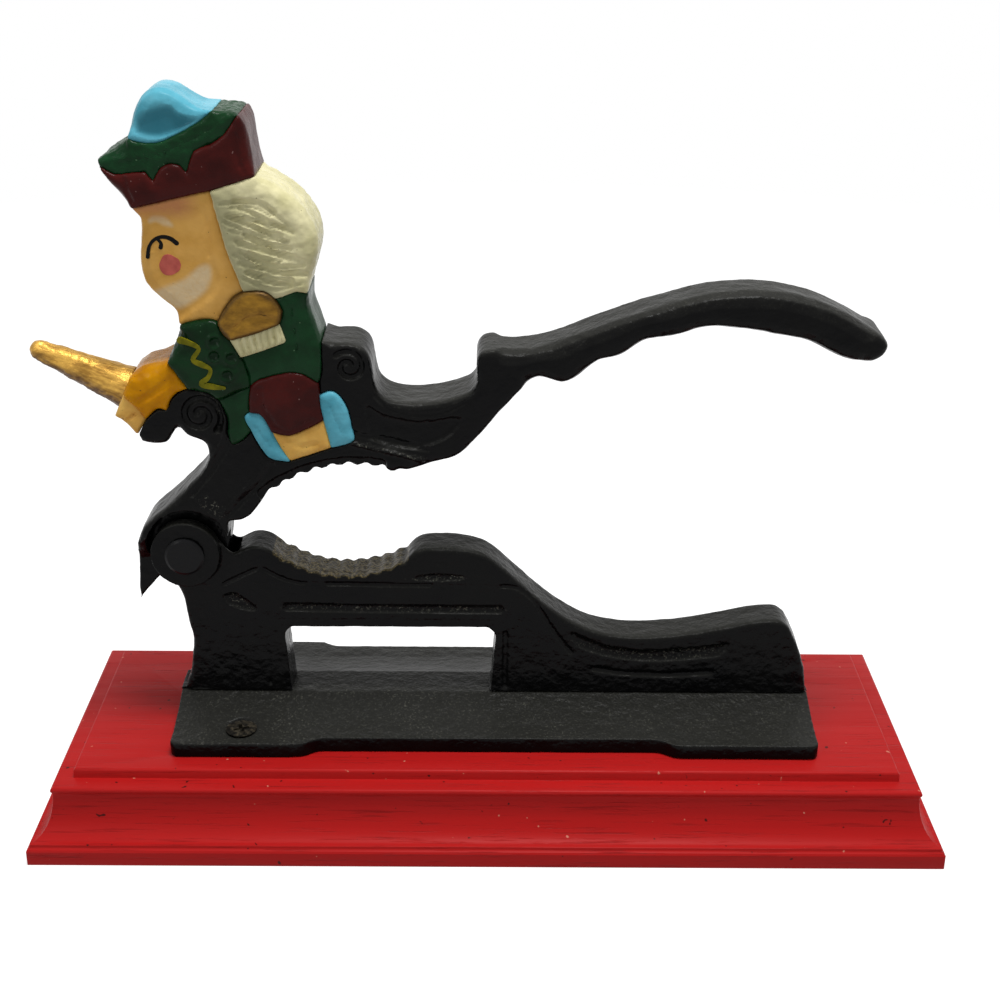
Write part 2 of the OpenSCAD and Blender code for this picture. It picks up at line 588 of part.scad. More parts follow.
hook_inner = [[-16, -17.8], [-13.4, -14.7], [-10.8, -11.6], [-7.8, -8.4]];
tongue_edge = [[-7.8, -8.4], [-3, -10.2], [3, -10.2], [8.6, -7.2], [12.4, -2], [13.8, 4], [14, 9]];
lobe = [[14, 11.2], [17, 11.5], [20, 12.6], [22.9, 15.4], [27, 21.6]];
jaw_roof = [for (q = arc(up_c, up_r, up_a0, up_a1, 18)) if (norm(q - up_jaw[2]) > 0.1) q];
body_low = [[66.4, 28.4], [69, 28.2], [72, 29.2], [77, 30.8], [81.6, 32], [85, 33.7], [88, 36.6],
            [92.8, 42.2], [97.4, 47.9], [101.4, 52.4], [104.6, 55.9]];
grip_low = handle([[104.6, 55.9], [107.8, 57.6], [111.2, 56.6], [114.6, 55.8], [118.4, 57.2], [121.8, 60.2],
                   [125.6, 63], [129.6, 63.8], [132.8, 65], [136.2, 67.6], [139.8, 69.5], [144.4, 70],
                   [149, 70.8], [153.4, 72.5], [158.6, 73.4], [165.6, 72.9], [172, 72], [178.4, 70.8],
                   [184.2, 69.8], [189.6, 67.7], [195, 64.9], [200.4, 63.2], [205.2, 63.2]]);
grip_end = handle([[205.2, 63.2], [208.8, 65.2], [210.2, 68.4], [208.4, 71.6], [204.4, 73.8]]);
grip_top = handle([[204.4, 73.8], [198.6, 77.2], [191.4, 80.6], [183.4, 83],
                   [175, 84.5], [167, 84.7], [158, 83.8], [148, 81.4], [138, 78.2], [128, 74.8],
                   [119, 71.2], [111, 68.2], [105, 66.7], [99.4, 66.5], [94.8, 67.2]]);
thumb_stop = [[94.8, 67.2], [91.4, 66.6], [89.4, 64.4], [89, 61], [89.3, 56.6]];
saddle = [[89.3, 56.6], [87.6, 54], [84.4, 52.7], [79, 51.1], [73.6, 50.3], [68, 50.3], [63.4, 51.4],
          [60.6, 53.8], [59.6, 57.4], [59, 61.4], [58.2, 64.8], [56.4, 67.3], [53.2, 68.6], [49.6, 68.7],
          [46.6, 68.4]];
scroll_left = [[0.7, 41.9], [-1.2, 45], [-2.2, 47.4]];
bracket_low = [[-11.6, 39.6], [-10.6, 37.2], [-8.4, 36.4], [-5.4, 36.3], [-2.6, 36.9], [-1.2, 38.8], [0.7, 41.9]];
scroll_low = [[0.7, 41.9], [3, 39], [6, 37.8], [8.2, 36.6], [8.8, 33.4], [8, 30.2], [5.4, 26.4], [2, 22.8],
              [-2.2, 18.6], [-7, 14.4], [-11, 10.8], [-13.6, 7.2], [-15, 3]];
hook_outer = [[-15, 3], [-15.6, -2], [-16, -8], [-16.4, -14], [-16, -17.8]];

module lever_ornament() {
    // volute of the neck, and the lines that run down from it
    polygon(band([for (a = [0:20:560]) [7.6, 46] + (1.2 + a * 0.0099) * [cos(150 - a), sin(150 - a)]], 1));
    polygon(band(chain([[13.4, 44], [12.6, 36], [10.6, 30], [6, 23.6], [1.4, 18.8], [0.4, 18]], 3), 0.9));
    // volute behind the figure
    polygon(band([for (a = [0:20:480]) [52, 61.4] + (1 + a * 0.0088) * [cos(30 + a), sin(30 + a)]], 0.9));
    // sunk panel of the arm
    polygon(chain([[56.4, 50.6], [61.5, 46.8], [72, 44.4], [80, 45.6], [85.4, 46], [82.4, 40.6], [77, 37.4],
                   [68, 35.6], [61.6, 37], [57.4, 41], [56.4, 50.6]], 2));
}

// The sunk margin above the upper jaw's teeth
jaw_margin = concat(arc(up_c, up_r - 3, up_a0 + 6, up_a1 + 6, 12), arc(up_c, up_r + 2.4, up_a1 + 6, up_a0 + 4, 12));

lever_outline = concat(
    seg(hook_inner, 0.6), seg(tongue_edge, 0.5), seg(lobe, 1.4),
    [for (p = jaw_roof) [p.x, p.y, 0.4]],
    seg(body_low, lever_round), seg(grip_low, min(handle_round, 3.6)), seg(grip_end, 2.6), seg(grip_top, handle_round),
    seg(thumb_stop, lever_round), seg(saddle, lever_round),
    seg(rev(jacket_lever), seam_round), seg(rev(breeches_lever), seam_round),
    seg(rev(back_lever), seam_round), seg(knee_lever, seam_round), seg(front_lever, seam_round),
    seg(tail_lever, seam_round), seg(scroll_tail, seam_round), seg(scroll_sleeve, seam_round),
    seg(cuff_scroll, seam_round), seg(cuff_bracket, seam_round), seg(hand_bracket, seam_round),
    seg(bracket_low, 2), seg(scroll_low, lever_round), seg(hook_outer, 0.8));

module lever() {
    color("#26272b")
    at_pivot()
    difference() {
        union() {
            slab(lever_outline, lever_t);
            teeth(up_c, up_r, up_a0, up_a1, up_pitch, lever_t - 1);
            for (p = lobe_teeth)
                translate([p.x, 0, p.y]) rotate([90, 0, 0])
                    cylinder(r = tooth_r, h = lever_t - 1, center = true);
        }
        // the hood: both cheeks are cut away around the fork's bosses, and the hook thins to its tip
        for (s = [-1, 1]) {
            translate([0, s * (tongue_t / 2 + 10), 0]) rotate([90, 0, 0]) {
                cylinder(r = boss_r + side_clear, h = 20, center = true, $fn = 64);
                translate([1.4, 1.7, 0]) cylinder(r = 13, h = 20, center = true, $fn = 64);
            }
            rotate([90, 0, 90])
                linear_extrude(60, center = true)
                    polygon([[s * tongue_t / 2, -40], [s * tongue_t / 2, -3], [s * 12, 8], [s * 12, -40]]);
        }
        rotate([90, 0, 0]) cylinder(r = pin_r + pin_clear, h = lever_t + 2, center = true);
        both_faces(lever_t, scroll_d) lever_ornament();
        both_faces(lever_t, 1.8) polygon(jaw_margin);
    }
}

// ---------- painted forms ----------

// A rounded plate of thickness t, with its creases cut into both faces
module form(outline, t, tint) {
    color(tint) at_pivot()
        difference() {
            slab(outline, t);
            both_faces(t, crease_d) children();
        }
}

module crease(p) {
    polygon(band(p, crease_w));
}

function outer(p, n = 2) = seg(p, figure_round, n);
function seam(p, n = 2) = seg(p, seam_round, n);
function zigzag(p) = [for (i = [0:len(p) - 2]) [p[i].x, p[i].y, seam_round]];

module hat_crown() {
    form(concat(seam(crown_base), outer(crown_top)), face_t, "skyblue")
        crease([[-3.6, 130.6], [0.2, 132.8], [3.6, 134], [7.4, 133.6], [9.6, 132.4]]);
}

module hat_top() {
    form(concat(zigzag(band_zigzag), outer(hat_back_top), seam(rev(crown_base)), outer(hat_front_top)),
         face_t + relief, "darkgreen")
        crease([[-10.6, 120.8], [-3.5, 122], [2.9, 123.8], [10.6, 127.2], [17.4, 131]]);
}

module hat_band() {
    form(concat(seam(band_head), seam(band_hair), outer(band_back), zigzag(rev(band_zigzag)), outer(band_front)),
         face_t + 1.6 * relief, "#5c1f22") {
        crease([[22.8, 129.6], [23, 125], [24, 119]]);
        crease([[-8.4, 115.6], [-7.8, 112.6], [-6.6, 110]]);
    }
}

module hair() {
    form(concat(seam(rev(head_hair)), seam(hair_epaulette), seam(hair_jacket), outer(hair_back), seam(rev(band_hair))),
         face_t + 2 * relief, "ivory")
        for (p = hair_strands) crease(p);
}

hair_strands = [
    [[19.4, 109.6], [25.5, 111.6], [31.6, 111.2], [36, 108.6]],
    [[19, 106], [25.1, 104.5], [32.8, 103.9], [38.6, 103]],
    [[19.6, 101.8], [27, 99.2], [34.7, 98], [40.4, 97.4]],
    [[21.4, 97.2], [28, 93.9], [35.3, 92.6], [40, 92]],
    [[24, 90.6], [29.9, 88.6], [36.4, 87.6]]];

module head() {
    form(concat(outer(profile), seam(head_sleeve), seam(head_epaulette), seam(head_hair), seam(rev(band_head))),
         face_t, "#e0b070") {
        // smiling eye, and the edge of the cheek
        crease([[-2.6, 95.6], [-2.2, 97.2], [-1, 98.8], [0.6, 99.5], [2.8, 99.3], [4.3, 98.2]]);
        crease([[6.6, 109.2], [11, 108.4], [13.2, 104.8], [13.8, 99.1], [13.2, 93.8]]);
    }
}

module epaulette() {
    form(concat(seam(epaulette_fringe_seam), seam(rev(epaulette_jacket)), seam(rev(hair_epaulette)),
                seam(rev(head_epaulette)), seam(rev(epaulette_sleeve))),
         face_t + 3 * relief, "#8a6a18")
        crease([[19.4, 73.6], [25, 78.2], [30.4, 77.6]]);
}

module epaulette_fringe() {
    form(concat(seam(rev(fringe_low)), seam(rev(fringe_back)), seam(rev(epaulette_fringe_seam)),
                seam(rev(fringe_sleeve))),
         face_t + 2.2 * relief, "ivory")
        // threads of the fringe
        for (i = [0:3])
            crease([[22.6 + 2.6 * i, 69.6 + 0.9 * i], [23.4 + 2.6 * i, 67.4 + 0.8 * i]]);
}

module jacket() {
    form(concat(seam(waist), seam(jacket_lever), outer(jacket_back), seam(rev(hair_jacket)), seam(epaulette_jacket),
                seam(fringe_back), seam(fringe_low), seam(sleeve_jacket)),
         face_t + relief, "#17382a")
        crease([[36.2, 80], [36.7, 73], [37.8, 64]]);
}

module sleeve() {
    form(concat(seam(rev(scroll_sleeve)), seam(rev(sleeve_tail)), seam(rev(sleeve_jacket)), seam(fringe_sleeve),
                seam(epaulette_sleeve), seam(rev(head_sleeve)), outer(rev(sleeve_front)), seam(rev(cuff_sleeve))),
         face_t + 2 * relief, "#12301f")
        // braid on the sleeve
        crease([[6, 71.4], [9, 68.2], [7.4, 64.4], [12.2, 61.4], [9.6, 57.8], [14.6, 56.2]]);
}

module cuff() {
    form(concat(seam(rev(cuff_bracket)), seam(rev(cuff_scroll)), seam(cuff_sleeve), outer(cuff_top_edge),
                seam([j_horn_top, j_horn_mid]), seam(rev(cuff_hand))),
         face_t, "#e0a810")
        crease([[-8, 50.8], [-3.6, 53.4], [0.4, 56.2]]);
}

module hand() {
    form(concat(seam(rev(hand_bracket)), seam(cuff_hand), seam([j_horn_mid, j_horn_low]), seg(rev(hand_low), 2)),
         face_t - relief, "#e0b070")
        crease([[-14, 44.4], [-12.4, 45.6], [-11.2, 46.2]]);
}

// The horn tapers from a flat end on the cuff and hand to a round mouthpiece
horn_axis = [j_horn_low.x - j_horn_top.x, j_horn_low.y - j_horn_top.y];
horn_r = norm(horn_axis) / 2;
horn_l = 28;

module horn() {
    color("#b08a2c")
    at_pivot()
        translate([(j_horn_low.x + j_horn_top.x) / 2, 0, (j_horn_low.y + j_horn_top.y) / 2])
            rotate([0, -angle_of([-horn_axis.y, horn_axis.x]) - 180, 0])
                rotate([0, 90, 0]) {
                    cylinder(r1 = horn_r, r2 = horn_tip_r, h = horn_l);
                    translate([0, 0, horn_l]) sphere(r = horn_tip_r);
                }
}

module breeches() {
    form(concat(seam(breeches_tail), seam(waist), seam(rev(breeches_lever)), seam(breeches_back),
                seam(breeches_knee), seam(breeches_front)),
         face_t + 1.6 * relief, "#5c1f22")
        crease([[26.4, 53], [27, 47.6], [30.4, 43.4]]);
}

module coat_tail() {
    form(concat(seam(scroll_tail), seam(rev(sleeve_tail)), seam(rev(breeches_tail)), seam(tail_front),
                seam(tail_lever)),
         face_t + 0.6 * relief, "#17382a")
        crease([[18.2, 49], [18.4, 44], [18, 40.4]]);
}

module stocking_front() {
    form(concat(seam(front_lever), seam(rev(tail_front)), seam(rev(breeches_front)), seam(knee_front)),
         face_t + relief, "#4a90b8")
        crease([[23.6, 43.4], [26, 39.6], [28.6, 36]]);
}

module stocking_back() {
    form(concat(seam(back_lever), seam(breeches_back), seam(knee_back)), face_t + relief, "#4a90b8")
        crease([[46, 50], [47.8, 45.2], [49.4, 41]]);
}

module knee() {
    form(concat(seam(knee_lever), seam(rev(knee_front)), seam(rev(breeches_knee)), seam(knee_back)),
         face_t + 0.6 * relief, "#c8963c")
        crease([[34.4, 36.4], [38.2, 36.6], [42, 37.6]]);
}

plinth();
stand();
pivot_rivet();
screw_front();
screw_rear();
lever();
hat_crown();
hat_top();
hat_band();
hair();
head();
epaulette();
epaulette_fringe();
jacket();
sleeve();
cuff();
hand();
horn();
breeches();
coat_tail();
stocking_front();
stocking_back();
knee();
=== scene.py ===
import math

import bpy
import numpy as np
from mathutils import Matrix, Vector
from mathutils.kdtree import KDTree


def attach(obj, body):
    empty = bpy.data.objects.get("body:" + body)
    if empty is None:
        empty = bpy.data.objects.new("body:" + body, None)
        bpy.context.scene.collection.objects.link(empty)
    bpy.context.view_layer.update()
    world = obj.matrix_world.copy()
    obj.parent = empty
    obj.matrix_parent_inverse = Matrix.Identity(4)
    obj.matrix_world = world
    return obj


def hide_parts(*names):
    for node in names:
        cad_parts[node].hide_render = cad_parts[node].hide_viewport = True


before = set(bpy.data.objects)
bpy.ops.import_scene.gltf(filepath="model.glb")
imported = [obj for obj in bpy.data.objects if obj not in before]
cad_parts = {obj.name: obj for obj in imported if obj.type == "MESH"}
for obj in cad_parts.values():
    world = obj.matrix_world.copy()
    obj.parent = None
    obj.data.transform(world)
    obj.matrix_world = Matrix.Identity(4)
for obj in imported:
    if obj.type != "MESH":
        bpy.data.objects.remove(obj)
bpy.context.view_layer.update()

MM = 0.001
PIVOT = (-93.3, 85.1)  # the rivet's axis, as x and z in mm; shapes on the faces are drawn from there
RIDGE = 35.95  # height in mm at which the stand's web leaves its foot
HAIR_SEED = 7

# Sizes of the finishes' patterns in mm, set beside the photograph. A real size named here is a usual
# one for such a finish and wasn't measured on the press.
SAND_GRAIN = 0.9  # foundry sand is usually 0.2 to 0.4 across, too fine to show from the camera's place
SAND_LUMP = 3.2  # the larger lumps of the cast skin
DIP_CLOUD = 14  # from thick to thin places in the dipped enamel
PORE_WIDTH = 0.9  # pores of open-grained hardwood are usually 0.1 to 0.3 wide, too fine to show from there
PORE_STRETCH = 28  # how many times longer than wide the pores are drawn
BRUSH_MARK = 7.0  # from thick to thin places in the brushed enamel
DUST_PIT = 1.2  # dust is finer, and its pits are drawn as large as they need to show


# ---------- camera, lamps and floor ----------


def aim(eye, ahead, up, place):
    """Turns a camera or lamp so that it looks along ahead."""
    side = ahead.cross(up).normalized()
    top = side.cross(ahead).normalized()
    turn = Matrix((side, top, -ahead)).transposed().to_4x4()
    eye.matrix_world = Matrix.Translation(place) @ turn


def place_camera():
    """The camera as fitted to the photograph: 46 cm in front of the press and 30 cm up, looking down by 23.6
    degrees."""
    pitch, yaw, roll = 0.411148, 0.00758, 0.009138
    ahead = Vector((math.sin(yaw) * math.cos(pitch), math.cos(yaw) * math.cos(pitch), -math.sin(pitch)))
    side = Vector((math.cos(yaw), -math.sin(yaw), 0))
    up = side.cross(ahead) * math.cos(roll) - side * math.sin(roll)
    lens = bpy.data.cameras.new("camera")
    lens.sensor_width = 36
    lens.lens = 58.36
    lens.clip_start = 0.01
    camera = bpy.data.objects.new("camera", lens)
    bpy.context.scene.collection.objects.link(camera)
    aim(camera, ahead, up, Vector((-0.00004, -0.45984, 0.30068)))
    bpy.context.scene.camera = camera


def hang_lamp(name, place, target, width, depth, watts):
    """A softbox at a place, turned to a target."""
    light = bpy.data.lights.new(name, "AREA")
    light.shape = "RECTANGLE"
    light.size = width
    light.size_y = depth
    light.energy = watts
    lamp = bpy.data.objects.new(name, light)
    bpy.context.scene.collection.objects.link(lamp)
    place = Vector(place)
    aim(lamp, (Vector(target) - place).normalized(), Vector((0, 1, 0)), place)


# ---------- nodes and colours ----------


def linear(code):
    """An sRGB hex colour as linear RGBA."""
    parts = [int(code[i:i + 2], 16) / 255 for i in (1, 3, 5)]
    return tuple(c / 12.92 if c <= 0.04045 else ((c + 0.055) / 1.055) ** 2.4 for c in parts) + (1.0,)


def add_node(tree, kind, settings):
    """Adds a node. A setting names a property or an input. A socket is linked to its input, and a hex code
    becomes a colour."""
    node = tree.nodes.new("ShaderNode" + kind)
    for key, value in settings.items():
        if isinstance(key, str) and key not in node.inputs:
            setattr(node, key, value)
        elif isinstance(value, bpy.types.NodeSocket):
            tree.links.new(value, node.inputs[key])
        else:
            node.inputs[key].default_value = linear(value) if isinstance(value, str) else value
    return node


def blank_finish(name):
    """A new material, its node tree, its shader and its Object coordinates."""
    material = bpy.data.materials.new(name)
    material.use_nodes = True
    tree = material.node_tree
    return material, tree, tree.nodes["Principled BSDF"], add_node(tree, "TexCoord", {}).outputs["Object"]


def shows_background(tree):
    """1 on the rays that show what is behind: the camera's, a reflection's and those through glass."""
    path = add_node(tree, "LightPath", {})
    seen = add_node(tree, "Math", {"operation": "MAXIMUM", 0: path.outputs["Is Camera Ray"],
                                   1: path.outputs["Is Glossy Ray"]})
    return add_node(tree, "Math", {"operation": "MAXIMUM", 0: seen.outputs[0],
                                   1: path.outputs["Is Transmission Ray"]}).outputs[0]


def light_room():
    """A white room: plain soft light, and white wherever the camera or a reflection looks past the press."""
    fill, white = 0.34, 1.0
    world = bpy.data.worlds.new("room")
    bpy.context.scene.world = world
    world.use_nodes = True
    tree = world.node_tree
    strength = add_node(tree, "Mix", {"data_type": "FLOAT", 0: shows_background(tree), 2: fill, 3: white})
    sky = tree.nodes["Background"]
    sky.inputs["Color"].default_value = (1, 1, 1, 1)
    tree.links.new(strength.outputs[0], sky.inputs["Strength"])
    hang_lamp("softbox_above", place=(0.10, -0.10, 1.0), target=(0, 0, 0.08), width=0.34, depth=0.26,
              watts=7.5)
    hang_lamp("softbox_left", place=(-0.8, -0.75, 0.75), target=(-0.03, 0, 0.1), width=0.3, depth=0.3,
              watts=1.4)


def lay_floor():
    """Matt white card that shows the press's soft shadow. It also glows, so that the camera sees it white."""
    glow = 0.72
    bpy.ops.mesh.primitive_circle_add(vertices=64, radius=0.9, fill_type="NGON")
    floor = bpy.context.object
    floor.name = "floor"
    material, tree, shader, _ = blank_finish("matt_white_card")
    shader.inputs["Base Color"].default_value = linear("#bfbfbf")
    shader.inputs["Roughness"].default_value = 1.0
    shader.inputs["Specular IOR Level"].default_value = 0.0
    strength = add_node(tree, "Math", {"operation": "MULTIPLY", 0: shows_background(tree), 1: glow})
    shader.inputs["Emission Color"].default_value = (1, 1, 1, 1)
    tree.links.new(strength.outputs[0], shader.inputs["Emission Strength"])
    floor.data.materials.append(material)


# ---------- finishes ----------


def black_enamel():
    """Black enamel dipped over a sand-cast iron skin: glossy and nearly black, lumpy as the sand was, greyer
    on top, painted lighter there for dust and for the light from above, with a grey crust in the coarse
    hollows and on the tops whose pale specks also stand in as painted glints, and brown bare iron where the
    teeth are worn.
    Its specular level is set far below a real enamel's, because the white room would turn the faces grey."""
    material, tree, shader, place = blank_finish("black_enamel_on_cast_iron")
    sand = add_node(tree, "TexNoise", {"Vector": place, "Scale": 1 / (SAND_GRAIN * MM),
                                       "Detail": 3}).outputs[0]
    lumps = add_node(tree, "TexNoise", {"Vector": place, "Scale": 1 / (SAND_LUMP * MM),
                                        "Detail": 2}).outputs[0]
    cloud = add_node(tree, "TexNoise", {"Vector": place, "Scale": 1 / (DIP_CLOUD * MM),
                                        "Detail": 3}).outputs[0]
    specks = add_node(tree, "TexNoise", {"Vector": place, "Scale": 1 / (0.8 * MM), "Detail": 4,
                                         "Roughness": 0.7}).outputs[0]
    worn = add_node(tree, "Attribute", {"attribute_name": "worn"}).outputs["Fac"]
    dust = add_node(tree, "Attribute", {"attribute_name": "dust"}).outputs["Fac"]
    crust = add_node(tree, "Attribute", {"attribute_name": "grit"}).outputs["Fac"]
    dull = add_node(tree, "MapRange", {"Value": cloud, "From Min": 0.35, "From Max": 0.7}).outputs[0]
    black = add_node(tree, "Mix", {"data_type": "RGBA", 0: dull, 6: "#060607", 7: "#0c0c0c"}).outputs[2]
    # painted top light: faces turned up go towards grey, for dust and for the light from above alike
    black = add_node(tree, "Mix", {"data_type": "RGBA", 0: dust, 6: black, 7: "#2b2b28"}).outputs[2]
    patches = add_node(tree, "MapRange", {"Value": cloud, "From Min": 0.36, "From Max": 0.62}).outputs[0]
    # pale grey specks in the crust, which also stand in as painted glints of its sandy facets
    crust_specks_and_glints = add_node(tree, "MapRange", {"Value": specks, "From Min": 0.56, "From Max": 0.68}).outputs[0]
    crust_specks_and_glints = add_node(tree, "Math", {"operation": "MULTIPLY", 0: crust_specks_and_glints, 1: crust}).outputs[0]
    patches = add_node(tree, "Math", {"operation": "MAXIMUM", 0: patches, 1: crust}).outputs[0]
    crust_specks_and_glints = add_node(tree, "Math", {"operation": "MULTIPLY", 0: crust_specks_and_glints, 1: patches}).outputs[0]
    black = add_node(tree, "Mix", {"data_type": "RGBA", 0: crust_specks_and_glints, 6: black, 7: "#6a6a60"}).outputs[2]
    bare = add_node(tree, "MapRange", {"Value": specks, "From Min": 0.44, "From Max": 0.62}).outputs[0]
    iron = add_node(tree, "Mix", {"data_type": "RGBA", 0: bare, 6: "#1c180e", 7: "#6c6040"}).outputs[2]
    rubbed = add_node(tree, "MapRange", {"Value": sand, "From Min": 0.3, "From Max": 0.5,
                                         "To Min": 0.5}).outputs[0]
    rubbed = add_node(tree, "Math", {"operation": "MULTIPLY", 0: rubbed, 1: worn}).outputs[0]
    skin_colour = add_node(tree, "Mix", {"data_type": "RGBA", 0: rubbed, 6: black, 7: iron}).outputs[2]
    tree.links.new(skin_colour, shader.inputs["Base Color"])
    bare_metal = add_node(tree, "Math", {"operation": "MULTIPLY", 0: worn, 1: 0.3}).outputs[0]
    tree.links.new(bare_metal, shader.inputs["Metallic"])
    gloss = add_node(tree, "MapRange", {"Value": cloud, "From Min": 0.3, "From Max": 0.7, "To Min": 0.2,
                                        "To Max": 0.32}).outputs[0]
    gloss = add_node(tree, "Math", {"operation": "MULTIPLY_ADD", 0: dust, 1: 0.12, 2: gloss}).outputs[0]
    tree.links.new(gloss, shader.inputs["Roughness"])
    shader.inputs["Specular IOR Level"].default_value = 0.07
    depth = add_node(tree, "Math", {"operation": "MULTIPLY_ADD", 0: crust, 1: 0.75, 2: 0.3}).outputs[0]
    swell = add_node(tree, "Bump", {"Height": lumps, "Distance": 0.5 * MM}).outputs[0]
    skin_relief = add_node(tree, "Bump", {"Height": sand, "Strength": depth, "Distance": 0.3 * MM,
                                          "Normal": swell}).outputs[0]
    tree.links.new(skin_relief, shader.inputs["Normal"])
    return material


def rivet_enamel():
    """The steel rivet under the same dipped enamel: smoother than the casting, with a few shallow dips."""
    material, tree, shader, place = blank_finish("black_enamel_on_steel")
    cloud = add_node(tree, "TexNoise", {"Vector": place, "Scale": 1 / (4 * MM), "Detail": 3}).outputs[0]
    dips = add_node(tree, "TexNoise", {"Vector": place, "Scale": 1 / (1.2 * MM), "Detail": 2}).outputs[0]
    colour = add_node(tree, "Mix", {"data_type": "RGBA", 0: cloud, 6: "#060608", 7: "#131314"}).outputs[2]
    tree.links.new(colour, shader.inputs["Base Color"])
    gloss = add_node(tree, "MapRange", {"Value": cloud, "From Min": 0.3, "From Max": 0.7, "To Min": 0.26,
                                        "To Max": 0.4}).outputs[0]
    tree.links.new(gloss, shader.inputs["Roughness"])
    shader.inputs["Specular IOR Level"].default_value = 0.1
    tree.links.new(add_node(tree, "Bump", {"Height": dips, "Distance": 0.1 * MM}).outputs[0],
                   shader.inputs["Normal"])
    return material


def screw_steel():
    """Black-oxide steel wood screw, its oxide rubbed and browned by the dust in its cross."""
    material, tree, shader, place = blank_finish("black_oxide_steel")
    dust = add_node(tree, "TexNoise", {"Vector": place, "Scale": 1 / (1.6 * MM), "Detail": 4,
                                       "Roughness": 0.7}).outputs[0]
    dirt = add_node(tree, "MapRange", {"Value": dust, "From Min": 0.45, "From Max": 0.65}).outputs[0]
    colour = add_node(tree, "Mix", {"data_type": "RGBA", 0: dirt, 6: "#201e1b", 7: "#463f31"}).outputs[2]
    tree.links.new(colour, shader.inputs["Base Color"])
    gloss = add_node(tree, "MapRange", {"Value": dirt, "To Min": 0.4, "To Max": 0.65}).outputs[0]
    tree.links.new(gloss, shader.inputs["Roughness"])
    shader.inputs["Metallic"].default_value = 0.6
    tree.links.new(add_node(tree, "Bump", {"Height": dust, "Distance": 0.06 * MM}).outputs[0],
                   shader.inputs["Normal"])
    return material


def red_painted_wood():
    """Red enamel brushed on open-grained hardwood: one satin coat, the pores showing as short dark strokes
    along the plinth, with a few knocks and pale specks."""
    material, tree, shader, place = blank_finish("red_enamel_on_hardwood")
    along = add_node(tree, "Mapping", {"Vector": place, "Scale": (1 / PORE_STRETCH, 1, 1)}).outputs[0]
    fibre = add_node(tree, "TexNoise", {"Vector": along, "Scale": 1 / (PORE_WIDTH * MM), "Detail": 4,
                                        "Roughness": 0.65}).outputs[0]
    bands = add_node(tree, "TexNoise", {"Vector": along, "Scale": 1 / (5 * MM), "Detail": 2}).outputs[0]
    chips = add_node(tree, "TexNoise", {"Vector": place, "Scale": 1 / (2.4 * MM), "Detail": 1}).outputs[0]
    pores = add_node(tree, "MapRange", {"Value": fibre, "From Min": 0.56, "From Max": 0.74}).outputs[0]
    red = add_node(tree, "Mix", {"data_type": "RGBA", 0: bands, 6: "#b51b1a", 7: "#a81717"}).outputs[2]
    red = add_node(tree, "Mix", {"data_type": "RGBA", 0: pores, 6: red, 7: "#861111"}).outputs[2]
    knocks = add_node(tree, "MapRange", {"Value": chips, "From Min": 0.755, "From Max": 0.785}).outputs[0]
    red = add_node(tree, "Mix", {"data_type": "RGBA", 0: knocks, 6: red, 7: "#4a0c0a"}).outputs[2]
    flecks = add_node(tree, "MapRange", {"Value": chips, "From Min": 0.22, "From Max": 0.2}).outputs[0]
    red = add_node(tree, "Mix", {"data_type": "RGBA", 0: flecks, 6: red, 7: "#c87a66"}).outputs[2]
    tree.links.new(red, shader.inputs["Base Color"])
    gloss = add_node(tree, "MapRange", {"Value": bands, "From Min": 0.3, "From Max": 0.7, "To Min": 0.4,
                                        "To Max": 0.5}).outputs[0]
    tree.links.new(gloss, shader.inputs["Roughness"])
    shader.inputs["Specular IOR Level"].default_value = 0.1
    grain = add_node(tree, "Bump", {"Height": bands, "Distance": 0.12 * MM}).outputs[0]
    grain = add_node(tree, "Bump", {"Height": pores, "Distance": 0.08 * MM, "invert": True,
                                    "Normal": grain}).outputs[0]
    tree.links.new(grain, shader.inputs["Normal"])
    return material


